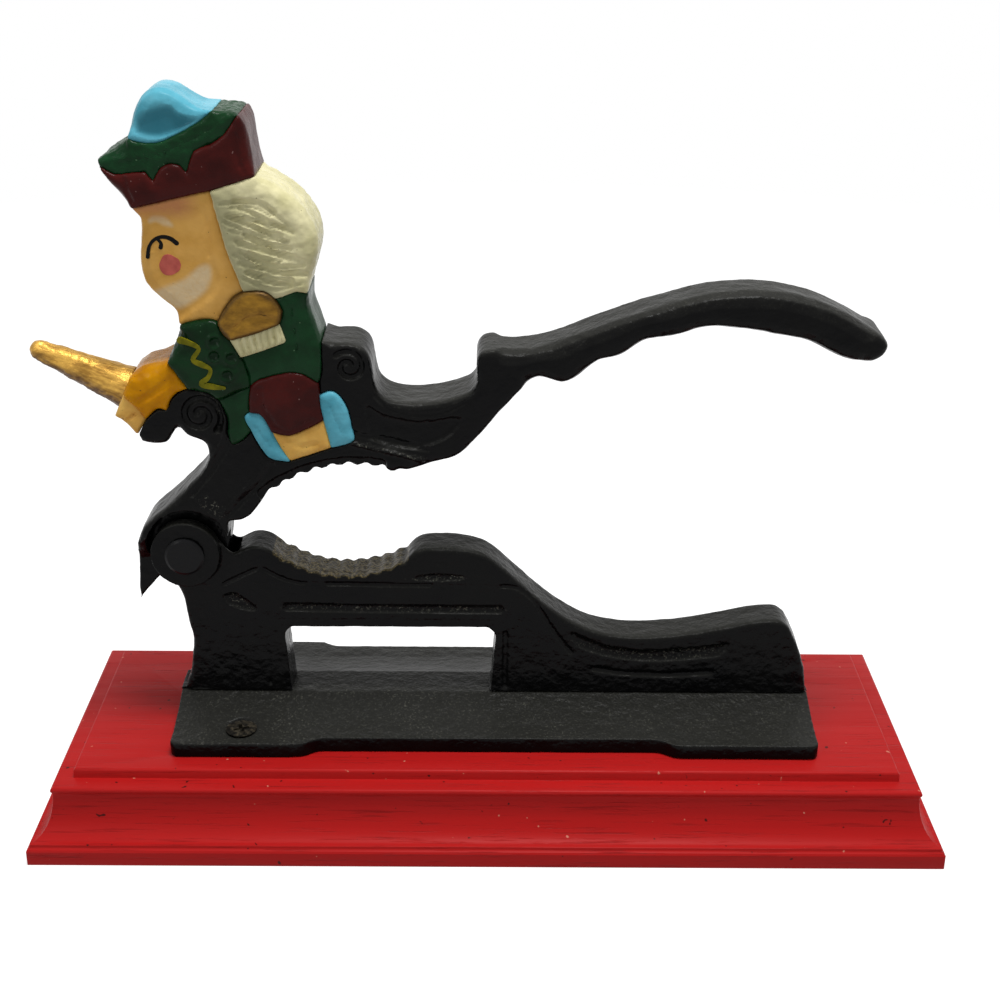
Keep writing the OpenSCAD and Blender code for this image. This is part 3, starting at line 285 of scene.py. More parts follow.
def figure_enamel(name, colour, thin, blotch=BRUSH_MARK, gloss=0.22, pits="#2c2618", marks=()):
    """Hobby enamel brushed by hand on the sandy casting: glossy, thinner where the brush dragged, with dust
    pits. Marks are painted values, each with its colour there and how closely it covers."""
    material, tree, shader, place = blank_finish(name)
    brush = add_node(tree, "TexNoise", {"Vector": place, "Scale": 1 / (blotch * MM), "Detail": 4}).outputs[0]
    sand = add_node(tree, "TexNoise", {"Vector": place, "Scale": 1 / (SAND_GRAIN * MM),
                                       "Detail": 3}).outputs[0]
    lumps = add_node(tree, "TexNoise", {"Vector": place, "Scale": 1 / (2.8 * MM), "Detail": 2}).outputs[0]
    dust = add_node(tree, "TexNoise", {"Vector": place, "Scale": 1 / (DUST_PIT * MM), "Detail": 1}).outputs[0]
    crust = add_node(tree, "Attribute", {"attribute_name": "grit"}).outputs["Fac"]
    drag = add_node(tree, "MapRange", {"Value": brush, "From Min": 0.38, "From Max": 0.66}).outputs[0]
    paint_coat = add_node(tree, "Mix", {"data_type": "RGBA", 0: drag, 6: colour, 7: thin}).outputs[2]
    for value, over, cover in marks:
        here = add_node(tree, "Attribute", {"attribute_name": value}).outputs["Fac"]
        dry = add_node(tree, "MapRange", {"Value": sand, "From Min": 0.3, "From Max": 0.6,
                                          "To Min": cover}).outputs[0]
        dry = add_node(tree, "Math", {"operation": "MULTIPLY", 0: dry, 1: here}).outputs[0]
        paint_coat = add_node(tree, "Mix", {"data_type": "RGBA", 0: dry, 6: paint_coat, 7: over}).outputs[2]
    spots = add_node(tree, "MapRange", {"Value": dust, "From Min": 0.765, "From Max": 0.8,
                                        "To Max": 0.7}).outputs[0]
    paint_coat = add_node(tree, "Mix", {"data_type": "RGBA", 0: spots, 6: paint_coat, 7: pits}).outputs[2]
    tree.links.new(paint_coat, shader.inputs["Base Color"])
    shine = add_node(tree, "MapRange", {"Value": brush, "From Min": 0.3, "From Max": 0.7, "To Min": gloss,
                                        "To Max": gloss + 0.12}).outputs[0]
    tree.links.new(shine, shader.inputs["Roughness"])
    shader.inputs["Specular IOR Level"].default_value = 0.08
    depth = add_node(tree, "Math", {"operation": "MULTIPLY_ADD", 0: crust, 1: 0.7, 2: 0.25}).outputs[0]
    swell = add_node(tree, "Bump", {"Height": lumps, "Distance": 0.16 * MM}).outputs[0]
    coat_relief = add_node(tree, "Bump", {"Height": sand, "Strength": depth, "Distance": 0.25 * MM,
                                          "Normal": swell}).outputs[0]
    tree.links.new(coat_relief, shader.inputs["Normal"])
    return material


def horn_gold():
    """Metallic gold paint brushed thinly on the casting: lighter gold in random patches, which also stand in
    as painted highlights, and painted shade in dark brown on its underside.
    """
    material, tree, shader, place = blank_finish("gold_paint_on_cast_iron")
    along = add_node(tree, "Mapping", {"vector_type": "TEXTURE", "Vector": place, "Rotation": (0, 0.35, 0),
                                       "Scale": (5, 1, 1)}).outputs[0]
    brush = add_node(tree, "TexNoise", {"Vector": along, "Scale": 1 / (1.8 * MM), "Detail": 4,
                                        "Roughness": 0.6}).outputs[0]
    # lighter gold in random patches, partly as painted highlights
    patches = add_node(tree, "MapRange", {"Value": brush, "From Min": 0.36, "From Max": 0.6}).outputs[0]
    colour = add_node(tree, "Mix", {"data_type": "RGBA", 0: patches, 6: "#9c7430", 7: "#d8a94e"}).outputs[2]
    # painted shade: dark brown where the horn faces down
    shade = add_node(tree, "Attribute", {"attribute_name": "shade"}).outputs["Fac"]
    colour = add_node(tree, "Mix", {"data_type": "RGBA", 0: shade, 6: colour, 7: "#54391a"}).outputs[2]
    tree.links.new(colour, shader.inputs["Base Color"])
    gloss = add_node(tree, "MapRange", {"Value": patches, "To Min": 0.6, "To Max": 0.38}).outputs[0]
    tree.links.new(gloss, shader.inputs["Roughness"])
    shader.inputs["Metallic"].default_value = 0.75
    sand = add_node(tree, "TexNoise", {"Vector": place, "Scale": 1 / (0.8 * MM), "Detail": 3}).outputs[0]
    dents = add_node(tree, "Bump", {"Height": brush, "Distance": 0.3 * MM}).outputs[0]
    dents = add_node(tree, "Bump", {"Height": sand, "Distance": 0.14 * MM, "Normal": dents}).outputs[0]
    tree.links.new(dents, shader.inputs["Normal"])
    return material


def epaulette_gold():
    """Old gold paint, dull, brown at its rim, with the streaks of a dry brush."""
    material, tree, shader, place = blank_finish("old_gold_paint_on_cast_iron")
    across = add_node(tree, "Mapping", {"Vector": place, "Scale": (1 / 4, 1, 1 / 2)}).outputs[0]
    brush = add_node(tree, "TexNoise", {"Vector": across, "Scale": 1 / (1.4 * MM), "Detail": 4,
                                        "Roughness": 0.6}).outputs[0]
    streaks = add_node(tree, "MapRange", {"Value": brush, "From Min": 0.35, "From Max": 0.66}).outputs[0]
    colour = add_node(tree, "Mix", {"data_type": "RGBA", 0: streaks, 6: "#6a4a10", 7: "#966e1e"}).outputs[2]
    rim = add_node(tree, "Attribute", {"attribute_name": "rim"}).outputs["Fac"]
    colour = add_node(tree, "Mix", {"data_type": "RGBA", 0: rim, 6: colour, 7: "#3c290c"}).outputs[2]
    tree.links.new(colour, shader.inputs["Base Color"])
    gloss = add_node(tree, "MapRange", {"Value": streaks, "To Min": 0.5, "To Max": 0.36}).outputs[0]
    tree.links.new(gloss, shader.inputs["Roughness"])
    shader.inputs["Metallic"].default_value = 0.4
    shader.inputs["Specular IOR Level"].default_value = 0.25
    tree.links.new(add_node(tree, "Bump", {"Height": brush, "Distance": 0.16 * MM}).outputs[0],
                   shader.inputs["Normal"])
    return material


# ---------- shaping ----------


def select_only(piece):
    """Leaves one piece selected and active, in object mode."""
    if bpy.context.object and bpy.context.object.mode != "OBJECT":
        bpy.ops.object.mode_set(mode="OBJECT")
    bpy.ops.object.select_all(action="DESELECT")
    piece.select_set(True)
    bpy.context.view_layer.objects.active = piece


def modify(piece, kind, **settings):
    """Adds a modifier and applies it."""
    modifier = piece.modifiers.new(kind.lower(), kind)
    for key, value in settings.items():
        setattr(modifier, key, value)
    select_only(piece)
    bpy.ops.object.modifier_apply(modifier=modifier.name)


def copy_of_node(node, name):
    """A CAD node's mesh as a new piece, its loose triangles merged."""
    piece = bpy.data.objects.new(name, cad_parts[node].data.copy())
    bpy.context.scene.collection.objects.link(piece)
    piece.data.materials.clear()
    select_only(piece)
    bpy.ops.object.mode_set(mode="EDIT")
    bpy.ops.mesh.select_all(action="SELECT")
    bpy.ops.mesh.remove_doubles(threshold=0.002 * MM)
    bpy.ops.object.mode_set(mode="OBJECT")
    bpy.ops.mesh.customdata_custom_splitnormals_clear()
    return piece


def keep_side(piece, height, above):
    """Cuts a piece level at a height in mm and keeps the part above or below."""
    select_only(piece)
    bpy.ops.object.mode_set(mode="EDIT")
    bpy.ops.mesh.select_all(action="SELECT")
    bpy.ops.mesh.bisect(plane_co=(0, 0, height * MM), plane_no=(0, 0, 1), use_fill=True,
                        clear_inner=above, clear_outer=not above)
    bpy.ops.object.mode_set(mode="OBJECT")


def cast(piece, grain, smoothing):
    """Gives a piece the even skin and soft edges of a sand casting."""
    modify(piece, "REMESH", mode="VOXEL", voxel_size=grain * MM, use_smooth_shade=True)
    modify(piece, "SMOOTH", factor=0.5, iterations=smoothing)


def ripple(piece, size, depth):
    """Slight unevenness that only goes inwards, so the piece stays in its box."""
    clouds = bpy.data.textures.new(piece.name + "_ripple", "CLOUDS")
    clouds.noise_scale = size * MM
    modify(piece, "DISPLACE", texture=clouds, texture_coords="LOCAL", strength=depth * MM, mid_level=1.0)


def skin(piece):
    """The skin's points as x, y, z in mm, x and z from the pivot, and their normals."""
    count = len(piece.data.vertices)
    places, normals = np.empty(count * 3), np.empty(count * 3)
    piece.data.vertices.foreach_get("co", places)
    piece.data.vertex_normals.foreach_get("vector", normals)
    places = places.reshape(-1, 3) / MM - np.array((PIVOT[0], 0, PIVOT[1]))
    return places, normals.reshape(-1, 3)


def facing(normals):
    """1 on the front and back faces, fading to 0 where the skin turns by about 63 degrees from them."""
    return np.clip((np.abs(normals[:, 1]) - 0.45) / 0.4, 0, 1)


def push(piece, weights, depth):
    """Sinks the skin by depth mm where the weights are 1. A negative depth raises it. The weights go into a
    vertex group in steps, because one call adds only one weight."""
    steps = 64
    group = piece.vertex_groups.new(name="push")
    levels = np.round(np.clip(weights, 0, 1) * steps).astype(int)
    for level in range(1, steps + 1):
        chosen = np.flatnonzero(levels == level)
        if len(chosen):
            group.add(chosen.tolist(), level / steps, "REPLACE")
    modify(piece, "DISPLACE", vertex_group="push", strength=-depth * MM, mid_level=0.0)
    piece.vertex_groups.remove(piece.vertex_groups["push"])


def paint(piece, name, values):
    """Paints a value on the skin for a finish to read."""
    layer = piece.data.attributes.new(name, "FLOAT", "POINT")
    layer.data.foreach_set("value", np.clip(values, 0, 1).astype(np.float32))


def flowing(path, steps=6):
    """A smooth curve through the points of a path."""
    points = [np.array(p, float) for p in path]
    points = [2 * points[0] - points[1]] + points + [2 * points[-1] - points[-2]]
    curve = []
    for a, b, c, d in zip(points, points[1:], points[2:], points[3:]):
        for t in np.arange(steps) / steps:
            curve.append(0.5 * (2 * b + (c - a) * t + (2 * a - 5 * b + 4 * c - d) * t ** 2
                                + (3 * b - a - 3 * c + d) * t ** 3))
    return curve + [points[-2]]


def distance(path, places):
    """How far each point of the skin is from a path, seen from the front."""
    flat = places[:, (0, 2)]
    best = np.full(len(flat), 1e6)
    for a, b in zip(path[:-1], path[1:]):
        run = b - a
        along = np.clip((flat - a) @ run / max(run @ run, 1e-9), 0, 1)
        best = np.minimum(best, np.linalg.norm(flat - a - along[:, None] * run, axis=1))
    return best


def inside(outline, places):
    """Whether each point of the skin lies inside a closed outline, seen from the front."""
    x, z = places[:, 0], places[:, 2]
    hit = np.zeros(len(x), bool)
    for a, b in zip(outline, outline[1:] + outline[:1]):
        if a[1] != b[1]:
            crosses = (z < a[1]) != (z < b[1])
            hit ^= crosses & (x < (b[0] - a[0]) * (z - a[1]) / (b[1] - a[1]) + a[0])
    return hit


def trace(piece, paths, width, depth=None):
    """Weights along paths, as a round-bottomed groove; cut to depth where that is given."""
    places, normals = skin(piece)
    weights = np.zeros(len(places))
    for path in paths:
        near = np.clip(1 - distance(flowing(path), places) / (width / 2), 0, 1)
        weights = np.maximum(weights, near * near * (3 - 2 * near))
    weights *= facing(normals)
    if depth is not None:
        push(piece, weights, depth)
    return weights


def patch(piece, outline, soft, depth=None):
    """Weights inside a closed outline, fading over soft mm at its edge; sunk to depth where that is given."""
    places, normals = skin(piece)
    edge = flowing(list(outline) + [outline[0]])
    away = distance(edge, places)
    signed = np.where(inside(edge[:-1], places), away, -away)
    near = np.clip(0.5 + signed / soft, 0, 1)
    weights = near * near * (3 - 2 * near) * facing(normals)
    if depth is not None:
        push(piece, weights, depth)
    return weights


def crown(piece, height, reach):
    """Swells the front and back faces of a painted form, from nothing at its edge."""
    places, normals = skin(piece)
    flat = np.abs(normals[:, 1]) > 0.75  # within about 41 degrees of facing forwards or backwards
    rim = places[~flat]
    tree = KDTree(len(rim))
    for i, (x, _, z) in enumerate(rim):
        tree.insert((x, 0, z), i)
    tree.balance()
    weights = np.zeros(len(places))
    for i in np.flatnonzero(flat):
        away = tree.find((places[i, 0], 0, places[i, 2]))[2]
        weights[i] = 1 - math.exp(-away / reach)
    push(piece, weights, -height)


# ---------- castings and plinth ----------


def ring(x, z, radius):
    """A closed circle."""
    return [(x + radius * math.cos(math.radians(a)), z + radius * math.sin(math.radians(a)))
            for a in np.linspace(0, 360, 40)]


def volute(x, z, radius, growth, start, turn):
    """A spiral that grows by growth mm each degree."""
    way = 1 if turn > 0 else -1
    return [(x + (radius + growth * a) * math.cos(math.radians(start + way * a)),
             z + (radius + growth * a) * math.sin(math.radians(start + way * a)))
            for a in range(0, abs(turn), 15)]


def jaw_wear(places, normals):
    """1 on the lower jaw's teeth, between two distances from the middle of their arc, and 0 on the front and
    back faces."""
    centre, low, high, left, right, fade = (46.8, 24.6), 30.4, 35.2, 26.5, 68.5, 0.8
    away = np.hypot(places[:, 0] - centre[0], places[:, 2] - centre[1])
    worn = np.minimum(np.clip((away - low) / fade, 0, 1), np.clip((high - away) / fade, 0, 1))
    return worn * (places[:, 0] > left) * (places[:, 0] < right) * (np.abs(normals[:, 1]) < 0.75)


def make_plinth(finish):
    """The moulded plinth with its arrises eased by sanding."""
    plinth = copy_of_node("plinth", "plinth_wood")
    select_only(plinth)
    bpy.ops.object.mode_set(mode="EDIT")
    bpy.ops.mesh.select_all(action="SELECT")
    bpy.ops.mesh.dissolve_limited(angle_limit=math.radians(1))
    bpy.ops.object.mode_set(mode="OBJECT")
    modify(plinth, "BEVEL", width=0.35 * MM, segments=2, limit_method="ANGLE", angle_limit=math.radians(28))
    select_only(plinth)
    bpy.ops.object.shade_smooth_by_angle(angle=math.radians(25))
    plinth.data.materials.append(finish)
    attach(plinth, "stand")
    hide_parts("plinth")


def reach_back(foot):
    """Moves the foot's rear edge back, because the photograph shows more of the foot behind the web."""
    behind_screws, reach = 27 * MM, 5.2 * MM
    select_only(foot)
    bpy.ops.object.mode_set(mode="EDIT")
    bpy.ops.mesh.select_all(action="DESELECT")
    bpy.ops.object.mode_set(mode="OBJECT")
    for vertex in foot.data.vertices:
        vertex.select = vertex.co.y > behind_screws
    bpy.ops.object.mode_set(mode="EDIT")
    bpy.ops.transform.translate(value=(0, reach, 0))
    bpy.ops.object.mode_set(mode="OBJECT")


def make_stand(finish):
    """The stand's web and its foot: one casting, parted at the ridge so that each can have a fine skin. The
    web has coarse hollows: along the rib, in the leaf, in the lens and in the tail's panel."""
    web = copy_of_node("stand", "stand_web")
    keep_side(web, RIDGE, above=True)
    cast(web, 0.5, 6)
    crust = trace(web, [[(29, -19.2), (60, -19.6), (98, -19.8)]], 3.2)
    leaf = [(10, -15.4), (14, -14.4), (19.4, -18.4), (20.6, -20.6), (14, -19)]
    crust = np.maximum(crust, patch(web, leaf, 1))
    crust = np.maximum(crust, patch(web, [(67.5, -8.9), (78, -7.3), (88.5, -8.6), (78, -9.9)], 1.2))
    tail = [(119.2, -30.1), (130.2, -32.3), (144.2, -33.9), (160.2, -32.7), (168, -32.4), (162.2, -36.3),
            (148.2, -37.7), (134.2, -36.7), (122.2, -32.7)]
    crust = np.maximum(crust, patch(web, tail, 1.2) * 0.7)
    ripple(web, 8, 0.4)
    ripple(web, 3, 0.16)
    places, normals = skin(web)
    # Grit is the crust of the hollows plus a share on upward faces; its pale specks also stand in as painted
    # glints. Dust greys the upward faces, partly as painted top light.
    paint(web, "grit", crust + 0.3 * np.clip(normals[:, 2], 0, 1))
    paint(web, "dust", np.clip(normals[:, 2], 0, 1) ** 2)
    paint(web, "worn", jaw_wear(places, normals))

    foot = copy_of_node("stand", "stand_foot")
    keep_side(foot, RIDGE, above=False)
    reach_back(foot)
    cast(foot, 0.62, 3)
    ripple(foot, 7, 0.25)
    ripple(foot, 1.6, 0.14)
    places, normals = skin(foot)
    # The foot's grit lies only on its upward faces: its pale specks are painted glints on the flange top. Its
    # dust greys the top, partly as painted top light.
    paint(foot, "grit", 0.5 * np.clip(normals[:, 2] * 1.6, 0, 1) * (normals[:, 2] > 0.2))
    paint(foot, "dust", 0.8 * np.clip(normals[:, 2], 0, 1) ** 2)
    paint(foot, "worn", np.zeros(len(places)))
    for piece in (web, foot):
        piece.data.materials.append(finish)
        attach(piece, "stand")
        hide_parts("stand")


def make_lever(finish):
    """The lever casting: volutes on the neck and behind the figure, a groove and a rim down the neck and
    beside the lobe, a gritty ridge over the upper jaw with a groove above it, and a line under the saddle."""
    lever = copy_of_node("lever", "lever_casting")
    cast(lever, 0.6, 6)
    ridge = [(50.8, 38.1), (59.7, 35.9), (66.5, 34.1), (73.6, 32.4)]
    trace(lever, [volute(7.6, 46, 1.2, 0.0099, 150, -560)], 2.2, 1.1)
    trace(lever, [volute(52, 61.4, 1.0, 0.0088, 30, 480)], 2.1, 1.0)
    trace(lever, [[(16.1, 50), (17.2, 44.9), (15.2, 36.4), (9.6, 27.8), (3.5, 20.4)]], 2.0, 0.8)
    trace(lever, [[(14.3, 48), (15, 44.4), (13.4, 37.6), (8.7, 30.3), (3.1, 24.1)]], 2.0, -0.6)
    trace(lever, [[(28.5, 30.7), (24.4, 24.2), (18.4, 18), (14.2, 13.2)]], 2.0, 0.8)
    trace(lever, [[(26.4, 31.4), (22.4, 25.4), (16.6, 19.2), (12.4, 14.6)]], 1.8, -0.5)
    trace(lever, [ridge], 2.4, -1.0)
    trace(lever, [[(52, 41), (60, 39), (67, 37.4), (75, 35.6)]], 2.4, 0.7)
    trace(lever, [[(59.5, 52.6), (64, 48.4), (72, 46.6), (80, 47.6), (86, 50.6)]], 1.3, 0.5)
    ripple(lever, 9, 0.5)
    ripple(lever, 3.2, 0.18)
    places, normals = skin(lever)
    # Grit: coarse crust on the neck patch, the scroll and the ridge, and a share on upward faces; its pale
    # specks there also stand in as painted glints. Dust greys the upward faces, partly as painted top light.
    crust = patch(lever, [(4.9, 19.4), (8.6, 20), (11.5, 17.7), (14.7, 13.6), (13.8, 11.9), (8.8, 14.4),
                          (6.1, 16.6)], 1.4)
    crust = np.maximum(crust, trace(lever, [[(7.3, 52.4), (10.6, 52.2), (13.4, 49.4), (14.1, 46)]], 3.4))
    crust = np.maximum(crust, trace(lever, [ridge], 2.6))
    paint(lever, "grit", crust + 0.25 * np.clip(normals[:, 2], 0, 1))
    paint(lever, "dust", np.clip(normals[:, 2], 0, 1) ** 2)
    paint(lever, "worn", np.zeros(len(places)))
    lever.data.materials.append(finish)
    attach(lever, "lever")
    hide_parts("lever")


# ---------- figure ----------


def painted_form(node, finish, swell=0.6, reach=2.5, grain=0.5):
    """One painted form of the figure, cast in one with the lever. It grows a little, so that it meets its
    neighbours although its edges are rounded."""
    growth = 0.4 * MM
    form = copy_of_node(node, node + "_paint")
    cast(form, grain, 2)
    modify(form, "DISPLACE", strength=growth, mid_level=0.0)
    if swell:
        crown(form, swell, reach)
    form.data.materials.append(finish)
    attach(form, "lever")
    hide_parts(node)
    return form


def surface(piece, x, z, side):
    """Height of a piece's face above the middle plane, in metres, on the front (-1) or back (1)."""
    outside, where_missed = 0.05, 0.0095
    start = Vector(((PIVOT[0] + x) * MM, side * outside, (PIVOT[1] + z) * MM))
    hit, where, _, _ = piece.ray_cast(start, Vector((0, -side, 0)))
    return abs(where.y) if hit else where_missed


def brushed(name, host, outline, finish, thickness=0.16):
    """A dab of thick paint with a closed outline, on both faces of its host."""
    soft_edge, sunk = 0.06 * MM, thickness * MM * 0.1
    dabs = []
    for side in (-1, 1):
        curve = bpy.data.curves.new(name, "CURVE")
        curve.dimensions = "2D"
        curve.fill_mode = "BOTH"
        curve.extrude = thickness * MM / 2
        curve.bevel_depth = soft_edge
        curve.bevel_resolution = 1
        spline = curve.splines.new("POLY")
        spline.points.add(len(outline) - 1)
        for point, (x, z) in zip(spline.points, outline):
            point.co = ((PIVOT[0] + x) * MM, (PIVOT[1] + z) * MM, 0, 1)
        spline.use_cyclic_u = True
        dab = bpy.data.objects.new(name, curve)
        bpy.context.scene.collection.objects.link(dab)
        heights = sorted(surface(host, x, z, side) for x, z in outline)
        height = heights[len(heights) // 2]
        select_only(dab)
        bpy.ops.object.convert(target="MESH")
        dab = bpy.context.object
        dab.rotation_euler = (math.radians(90), 0, 0)
        dab.location = (0, side * (height - sunk), 0)
        bpy.ops.object.transform_apply(location=True, rotation=True, scale=True)
        dabs.append(dab)
    select_only(dabs[0])
    dabs[1].select_set(True)
    bpy.ops.object.join()
    piece = dabs[0]
    piece.name = name
    bpy.ops.object.shade_smooth_by_angle(angle=math.radians(40))
    piece.data.materials.append(finish)
    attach(piece, "lever")


def stroke(path, widths):
    """The outline of a brush stroke with round ends, its width in mm given along the path."""
    line = flowing(path, 5)
    width = np.interp(np.linspace(0, 1, len(line)), np.linspace(0, 1, len(widths)), widths) / 2
    ways = [line[min(i + 1, len(line) - 1)] - line[max(i - 1, 0)] for i in range(len(line))]
    ways = [w / np.linalg.norm(w) for w in ways]
    sides = [np.array((-w[1], w[0])) for w in ways]
    left = [p + n * r for p, n, r in zip(line, sides, width)]
    right = [p - n * r for p, n, r in zip(line, sides, width)]
    turns = np.radians((30, 60, 90, 120, 150))
    last = [line[-1] + width[-1] * (sides[-1] * math.cos(a) + ways[-1] * math.sin(a)) for a in turns]
    first = [line[0] - width[0] * (sides[0] * math.cos(a) + ways[0] * math.sin(a)) for a in turns]
    return [tuple(p) for p in left + last + right[::-1] + first]


def make_hat(blue, green, maroon):
    """The hat: a crown with a sunk panel, a gritty top, and a band with two shallow grooves."""
    crown_form = painted_form("hat_crown", blue, 0)
    panel = patch(crown_form, [(-4.6, 130.2), (-3.7, 133), (-0.5, 134.6), (4.8, 136), (6.8, 134.1),
                               (10.4, 132.7), (11.8, 132.6), (9.4, 130.7), (2.1, 128.1), (-3.9, 128.8)],
                  1.8, 1.1)
    ripple(crown_form, 4, 0.25)
    paint(crown_form, "shade", panel * 0.8)
    top = painted_form("hat_top", green, 0.3)
    crust = trace(top, [[(-9.9, 121), (-3.5, 122), (2.9, 124), (11.2, 127.1), (18.2, 131.3)]], 6)
    ripple(top, 1.6, 0.7)
    paint(top, "grit", crust * 1.6)
    band = painted_form("hat_band", maroon, 0.7, 3)
    trace(band, [[(22.6, 131.6), (22.8, 125), (24.6, 118.6)]], 3.0, 0.45)
    trace(band, [[(-8.8, 116.6), (-8.2, 113), (-7.0, 110)]], 2.2, 0.4)
    ripple(band, 6, 0.25)


def make_hair(cream):
    """The hair: 24 grooves in three widths, which run back from the temple and fan out down to the collar."""
    hair = painted_form("hair", cream, 1.1, 4)
    top = np.array(flowing([(17.6, 111.4), (24, 111.6), (31, 109.4), (37.4, 104.4)], 5))
    middle = np.array(flowing([(18.6, 101.5), (26, 98.4), (34, 95.2), (42.4, 93.2)], 5))
    low = np.array(flowing([(23.2, 87), (28, 85.6), (34, 84.9), (40.4, 86.6)], 5))
    sway = np.random.default_rng(HAIR_SEED)
    strands = []
    for share in np.linspace(0.03, 0.98, 24):
        share += sway.uniform(-0.015, 0.015)
        if share < 0.5:
            base = top + (middle - top) * share * 2
        else:
            base = middle + (low - middle) * (share - 0.5) * 2
        start, end = sway.integers(0, 5), sway.integers(0, 5)
        base = base[start:len(base) - end]
        wave = 0.6 * np.sin(np.linspace(0, 5, len(base)) + sway.uniform(0, 6))
        strands.append([tuple(p + np.array((0, w))) for p, w in zip(base, wave)][::2])
    trace(hair, strands[0::3], 1.9, 0.9)
    trace(hair, strands[1::3], 1.2, 0.5)
    trace(hair, strands[2::3], 1.5, 0.7)
    ripple(hair, 3, 0.5)
    ripple(hair, 1.4, 0.2)
    shade = patch(hair, [(12, 114), (20.8, 113.1), (22.1, 108.1), (23.6, 103.9), (24.9, 97.1), (28.8, 92),
                         (32.6, 84), (20, 84), (14, 97.1)], 8)
    paint(hair, "shade", shade * 0.75)


def make_head(flesh, black, pink):
    """A plain smiling doll's face: sunk a little inside the hairline, with its features painted on."""
    head = painted_form("head", flesh, 0.3, 3)
    patch(head, [(-12, 106.8), (0, 108.4), (6.6, 109.8), (12.1, 109), (14, 104.8), (14.3, 99.1), (14.2, 93.8),
                 (15.6, 86), (10, 80), (0, 76), (-12, 90)], 2.2, 0.5)
    ripple(head, 5, 0.2)
    pale = patch(head, [(-3.3, 104.5), (-1.6, 105.8), (1.7, 105.4), (3.8, 102.9), (1.5, 103), (-0.9, 104.1),
                        (-3, 103.7)], 1.2) * 0.7
    pale = np.maximum(pale, patch(head, [(-3.3, 83.5), (0.6, 85.3), (5.8, 87.5), (10.7, 91.4), (13.2, 91.5),
                                         (13.6, 88.4), (12, 84.5), (7.9, 81), (3.5, 78.6), (1.1, 79.6),
                                         (-1.3, 81.4)], 2.2) * 0.8)
    paint(head, "pale", pale)
    places = skin(head)[0]
    warm = np.clip((places[:, 2] - 104) / 4, 0, 1) * np.clip((12 - places[:, 0]) / 6, 0, 1)
    paint(head, "warm", warm)
    brushed("eye_paint", head, stroke([(-4.1, 93.9), (-3.5, 96.8), (-1.9, 98.9), (0.4, 99.8), (2.7, 99.3),
                                       (4.4, 98)], (1.0, 0.8, 0.9, 1.15, 1.3)), black)
    brushed("lash_paint", head, stroke([(-0.9, 99.1), (0.0, 97.9), (-0.2, 96.7)], (0.7, 0.9, 1.1)), black)
    cheek = [(2.1 + r * math.cos(a), 91.7 + r * math.sin(a)) for a, r in zip(
        np.linspace(0, 2 * math.pi, 13)[:-1], (3.1, 3.0, 2.7, 3.0, 3.1, 2.8, 3.0, 3.2, 3.3, 3.0, 2.8, 3.0))]
    cheek = [tuple(p) for p in flowing(cheek + cheek[:1], 3)[:-1]]
    brushed("cheek_paint", head, cheek, pink, 0.1)


def make_coat(green, sleeve_green, gold, cream, olive):
    """The coat: epaulette with its fringe, jacket, bumpy sleeve with a wavy braid, and coat tail."""
    shoulder = painted_form("epaulette", gold, 1.0, 3)
    trace(shoulder, [[(17.6, 72), (24.5, 76.8), (31.8, 76.2)]], 3.4, 0.45)
    rim = trace(shoulder, [[(18.2, 70), (15, 74.9), (16.7, 78.3), (19.8, 82.3), (22.6, 83.9), (26.5, 84.4),
                            (31.4, 81.9), (33.3, 78.4), (32.2, 74.7), (25.4, 72), (18.2, 69.9)]], 2.6)
    paint(shoulder, "rim", np.maximum(rim, 1 - facing(skin(shoulder)[1])))
    fringe = painted_form("epaulette_fringe", cream, 0, grain=0.4)
    threads = [[(21.0 + 1.95 * i, 70.6 + 0.75 * i), (22.1 + 1.85 * i, 65.0 + 0.72 * i)] for i in range(7)]
    trace(fringe, threads, 1.3, 0.8)
    jacket = painted_form("jacket", green, 0.7, 3)
    trace(jacket, [[(35.4, 82), (36.2, 74), (37.4, 66)]], 3, 0.35)
    ripple(jacket, 5, 0.3)
    sleeve = painted_form("sleeve", sleeve_green, 1.2, 3)
    dimples = [(13.7, 69.5), (13.4, 65.3), (16.9, 59.4), (18.3, 64.6)]
    trace(sleeve, [ring(x, z, 1.9) for x, z in dimples], 1.8, -0.6)
    trace(sleeve, [[(x - 0.3, z), (x + 0.4, z + 0.3)] for x, z in dimples], 2.2, 0.7)
    ripple(sleeve, 3.4, 0.7)
    brushed("braid_paint", sleeve, stroke([(3.8, 70), (6.3, 69.2), (9.1, 67.5), (7.2, 64.2), (9.5, 62.7),
                                           (12, 61.3), (11.3, 58.8), (9.3, 56.7), (12.5, 55.8), (15.7, 55.5)],
                                          (1.9, 1.5, 1.1, 1.3, 1.7, 1.0, 1.2, 1.8, 1.6, 0.9)),
            olive, 0.7)
    tail = painted_form("coat_tail", green, 0.3)
    ripple(tail, 4, 0.25)


def make_arm(yellow, flesh, gold):
    """The cuff with a fold, the hand, and the horn with a dark underside."""
    cuff = painted_form("cuff", yellow, 0.8, 3)
    trace(cuff, [[(-10.4, 50), (-5, 53.6), (0.4, 57.8)]], 3.2, 0.5)
    ripple(cuff, 4.5, 0.35)
    hand = painted_form("hand", flesh, 0.4, 2, grain=0.4)
    trace(hand, [[(-14.6, 43.6), (-12.2, 45.6), (-10.6, 46.6)]], 1.4, 0.4)
    ripple(hand, 3, 0.2)
    horn = painted_form("horn", gold, 0, grain=0.4)
    ripple(horn, 4, 0.8)
    ripple(horn, 1.6, 0.25)
    normals = skin(horn)[1]
    paint(horn, "shade", np.clip(0.3 - 1.5 * normals[:, 2], 0, 1))


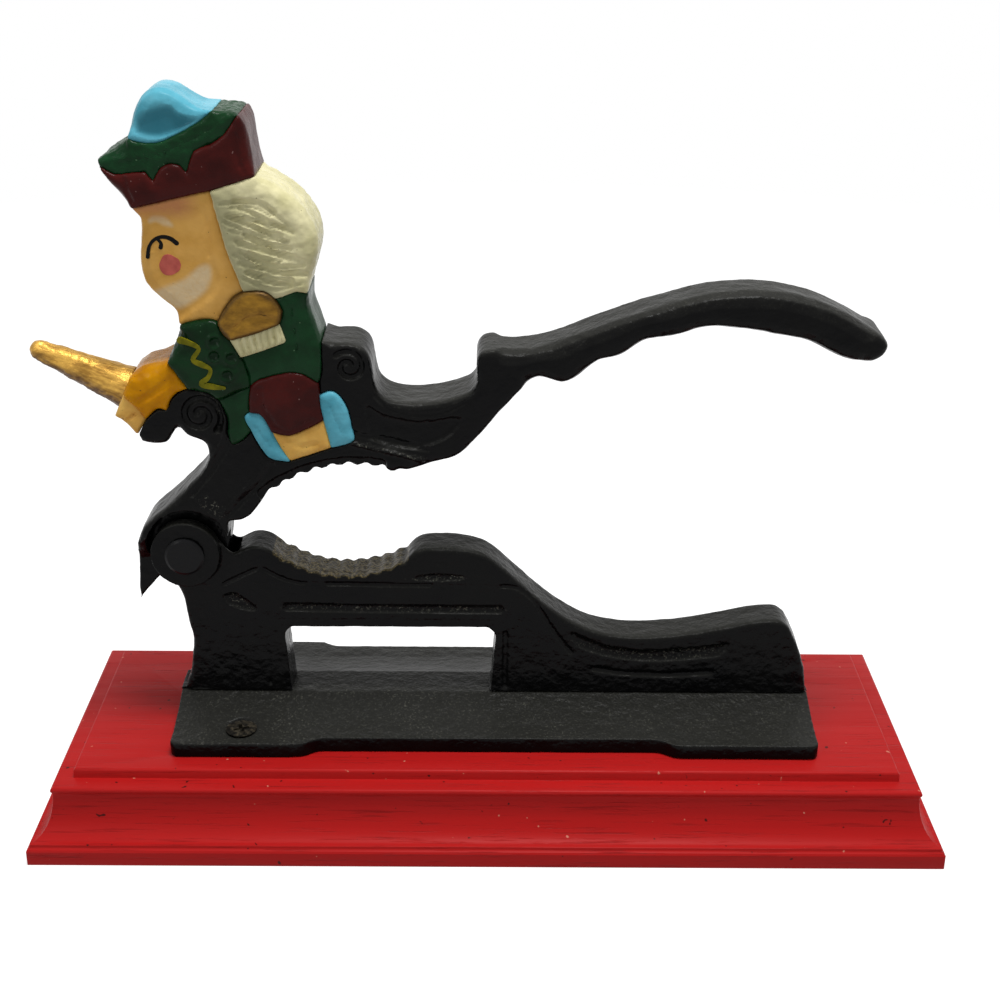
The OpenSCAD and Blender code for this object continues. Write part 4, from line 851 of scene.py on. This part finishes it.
def make_legs(maroon, blue, flesh):
    """The breeches, the stockings and the knee."""
    breeches = painted_form("breeches", maroon, 1.3, 4)
    trace(breeches, [[(26, 55), (26.6, 48.6), (29.4, 43.4)]], 2.6, 0.4)
    trace(breeches, [[(29.8, 43.4), (34.4, 41.9), (41, 45.2)]], 1.8, 0.35)
    ripple(breeches, 4, 0.35)
    for node in ("stocking_front", "stocking_back"):
        stocking = painted_form(node, blue, 0.7, 3)
        ripple(stocking, 4, 0.25)
    knee = painted_form("knee", flesh, 0.6, 3)
    trace(knee, [[(34, 38.8), (37.6, 36.6), (41.4, 37.4)]], 3, 0.35)
    ripple(knee, 4, 0.25)


# ---------- the press ----------

bpy.context.scene.view_settings.view_transform = "Standard"
place_camera()
light_room()
lay_floor()

casting, steel = black_enamel(), screw_steel()
make_plinth(red_painted_wood())
make_stand(casting)
make_lever(casting)
for node, finish in (("pivot_rivet", rivet_enamel()), ("screw_front", steel), ("screw_rear", steel)):
    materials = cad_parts[node].data.materials
    materials.clear()
    materials.append(finish)

sky_blue = figure_enamel("sky_blue_enamel", "#62b2c6", "#50a0b4", marks=(("shade", "#2f7486", 1),))
dark_green = figure_enamel("dark_green_enamel", "#143c20", "#0e2c16", pits="#5a7a5a")
maroon = figure_enamel("maroon_enamel", "#46120f", "#340d0b", pits="#8a6a66")
cream = figure_enamel("cream_enamel", "#e2dbae", "#cac495", pits="#6a6440", marks=(("shade", "#a19e78", 1),))
flesh = figure_enamel("flesh_enamel", "#e0ad5c", "#d29e4c",
                      marks=(("pale", "#ddc9a4", 0.8), ("warm", "#c98a5a", 0.8)))
knee_flesh = figure_enamel("knee_flesh_enamel", "#ecbc62", "#d8a24c")
yellow = figure_enamel("yellow_enamel", "#d89406", "#c07c04")
sleeve_green = figure_enamel("sleeve_green_enamel", "#0f3318", "#08220d", pits="#5a7a5a", gloss=0.16)
olive = figure_enamel("olive_braid_enamel", "#7c7610", "#5a5a0c", blotch=2.5)
eye_black = figure_enamel("eye_black_enamel", "#040404", "#0a0a0a")
cheek_pink = figure_enamel("cheek_pink_enamel", "#c9665a", "#b4564e", blotch=2.5)
make_hat(sky_blue, dark_green, maroon)
make_hair(cream)
make_head(flesh, eye_black, cheek_pink)
make_coat(dark_green, sleeve_green, epaulette_gold(), cream, olive)
make_arm(yellow, knee_flesh, horn_gold())
make_legs(maroon, sky_blue, knee_flesh)
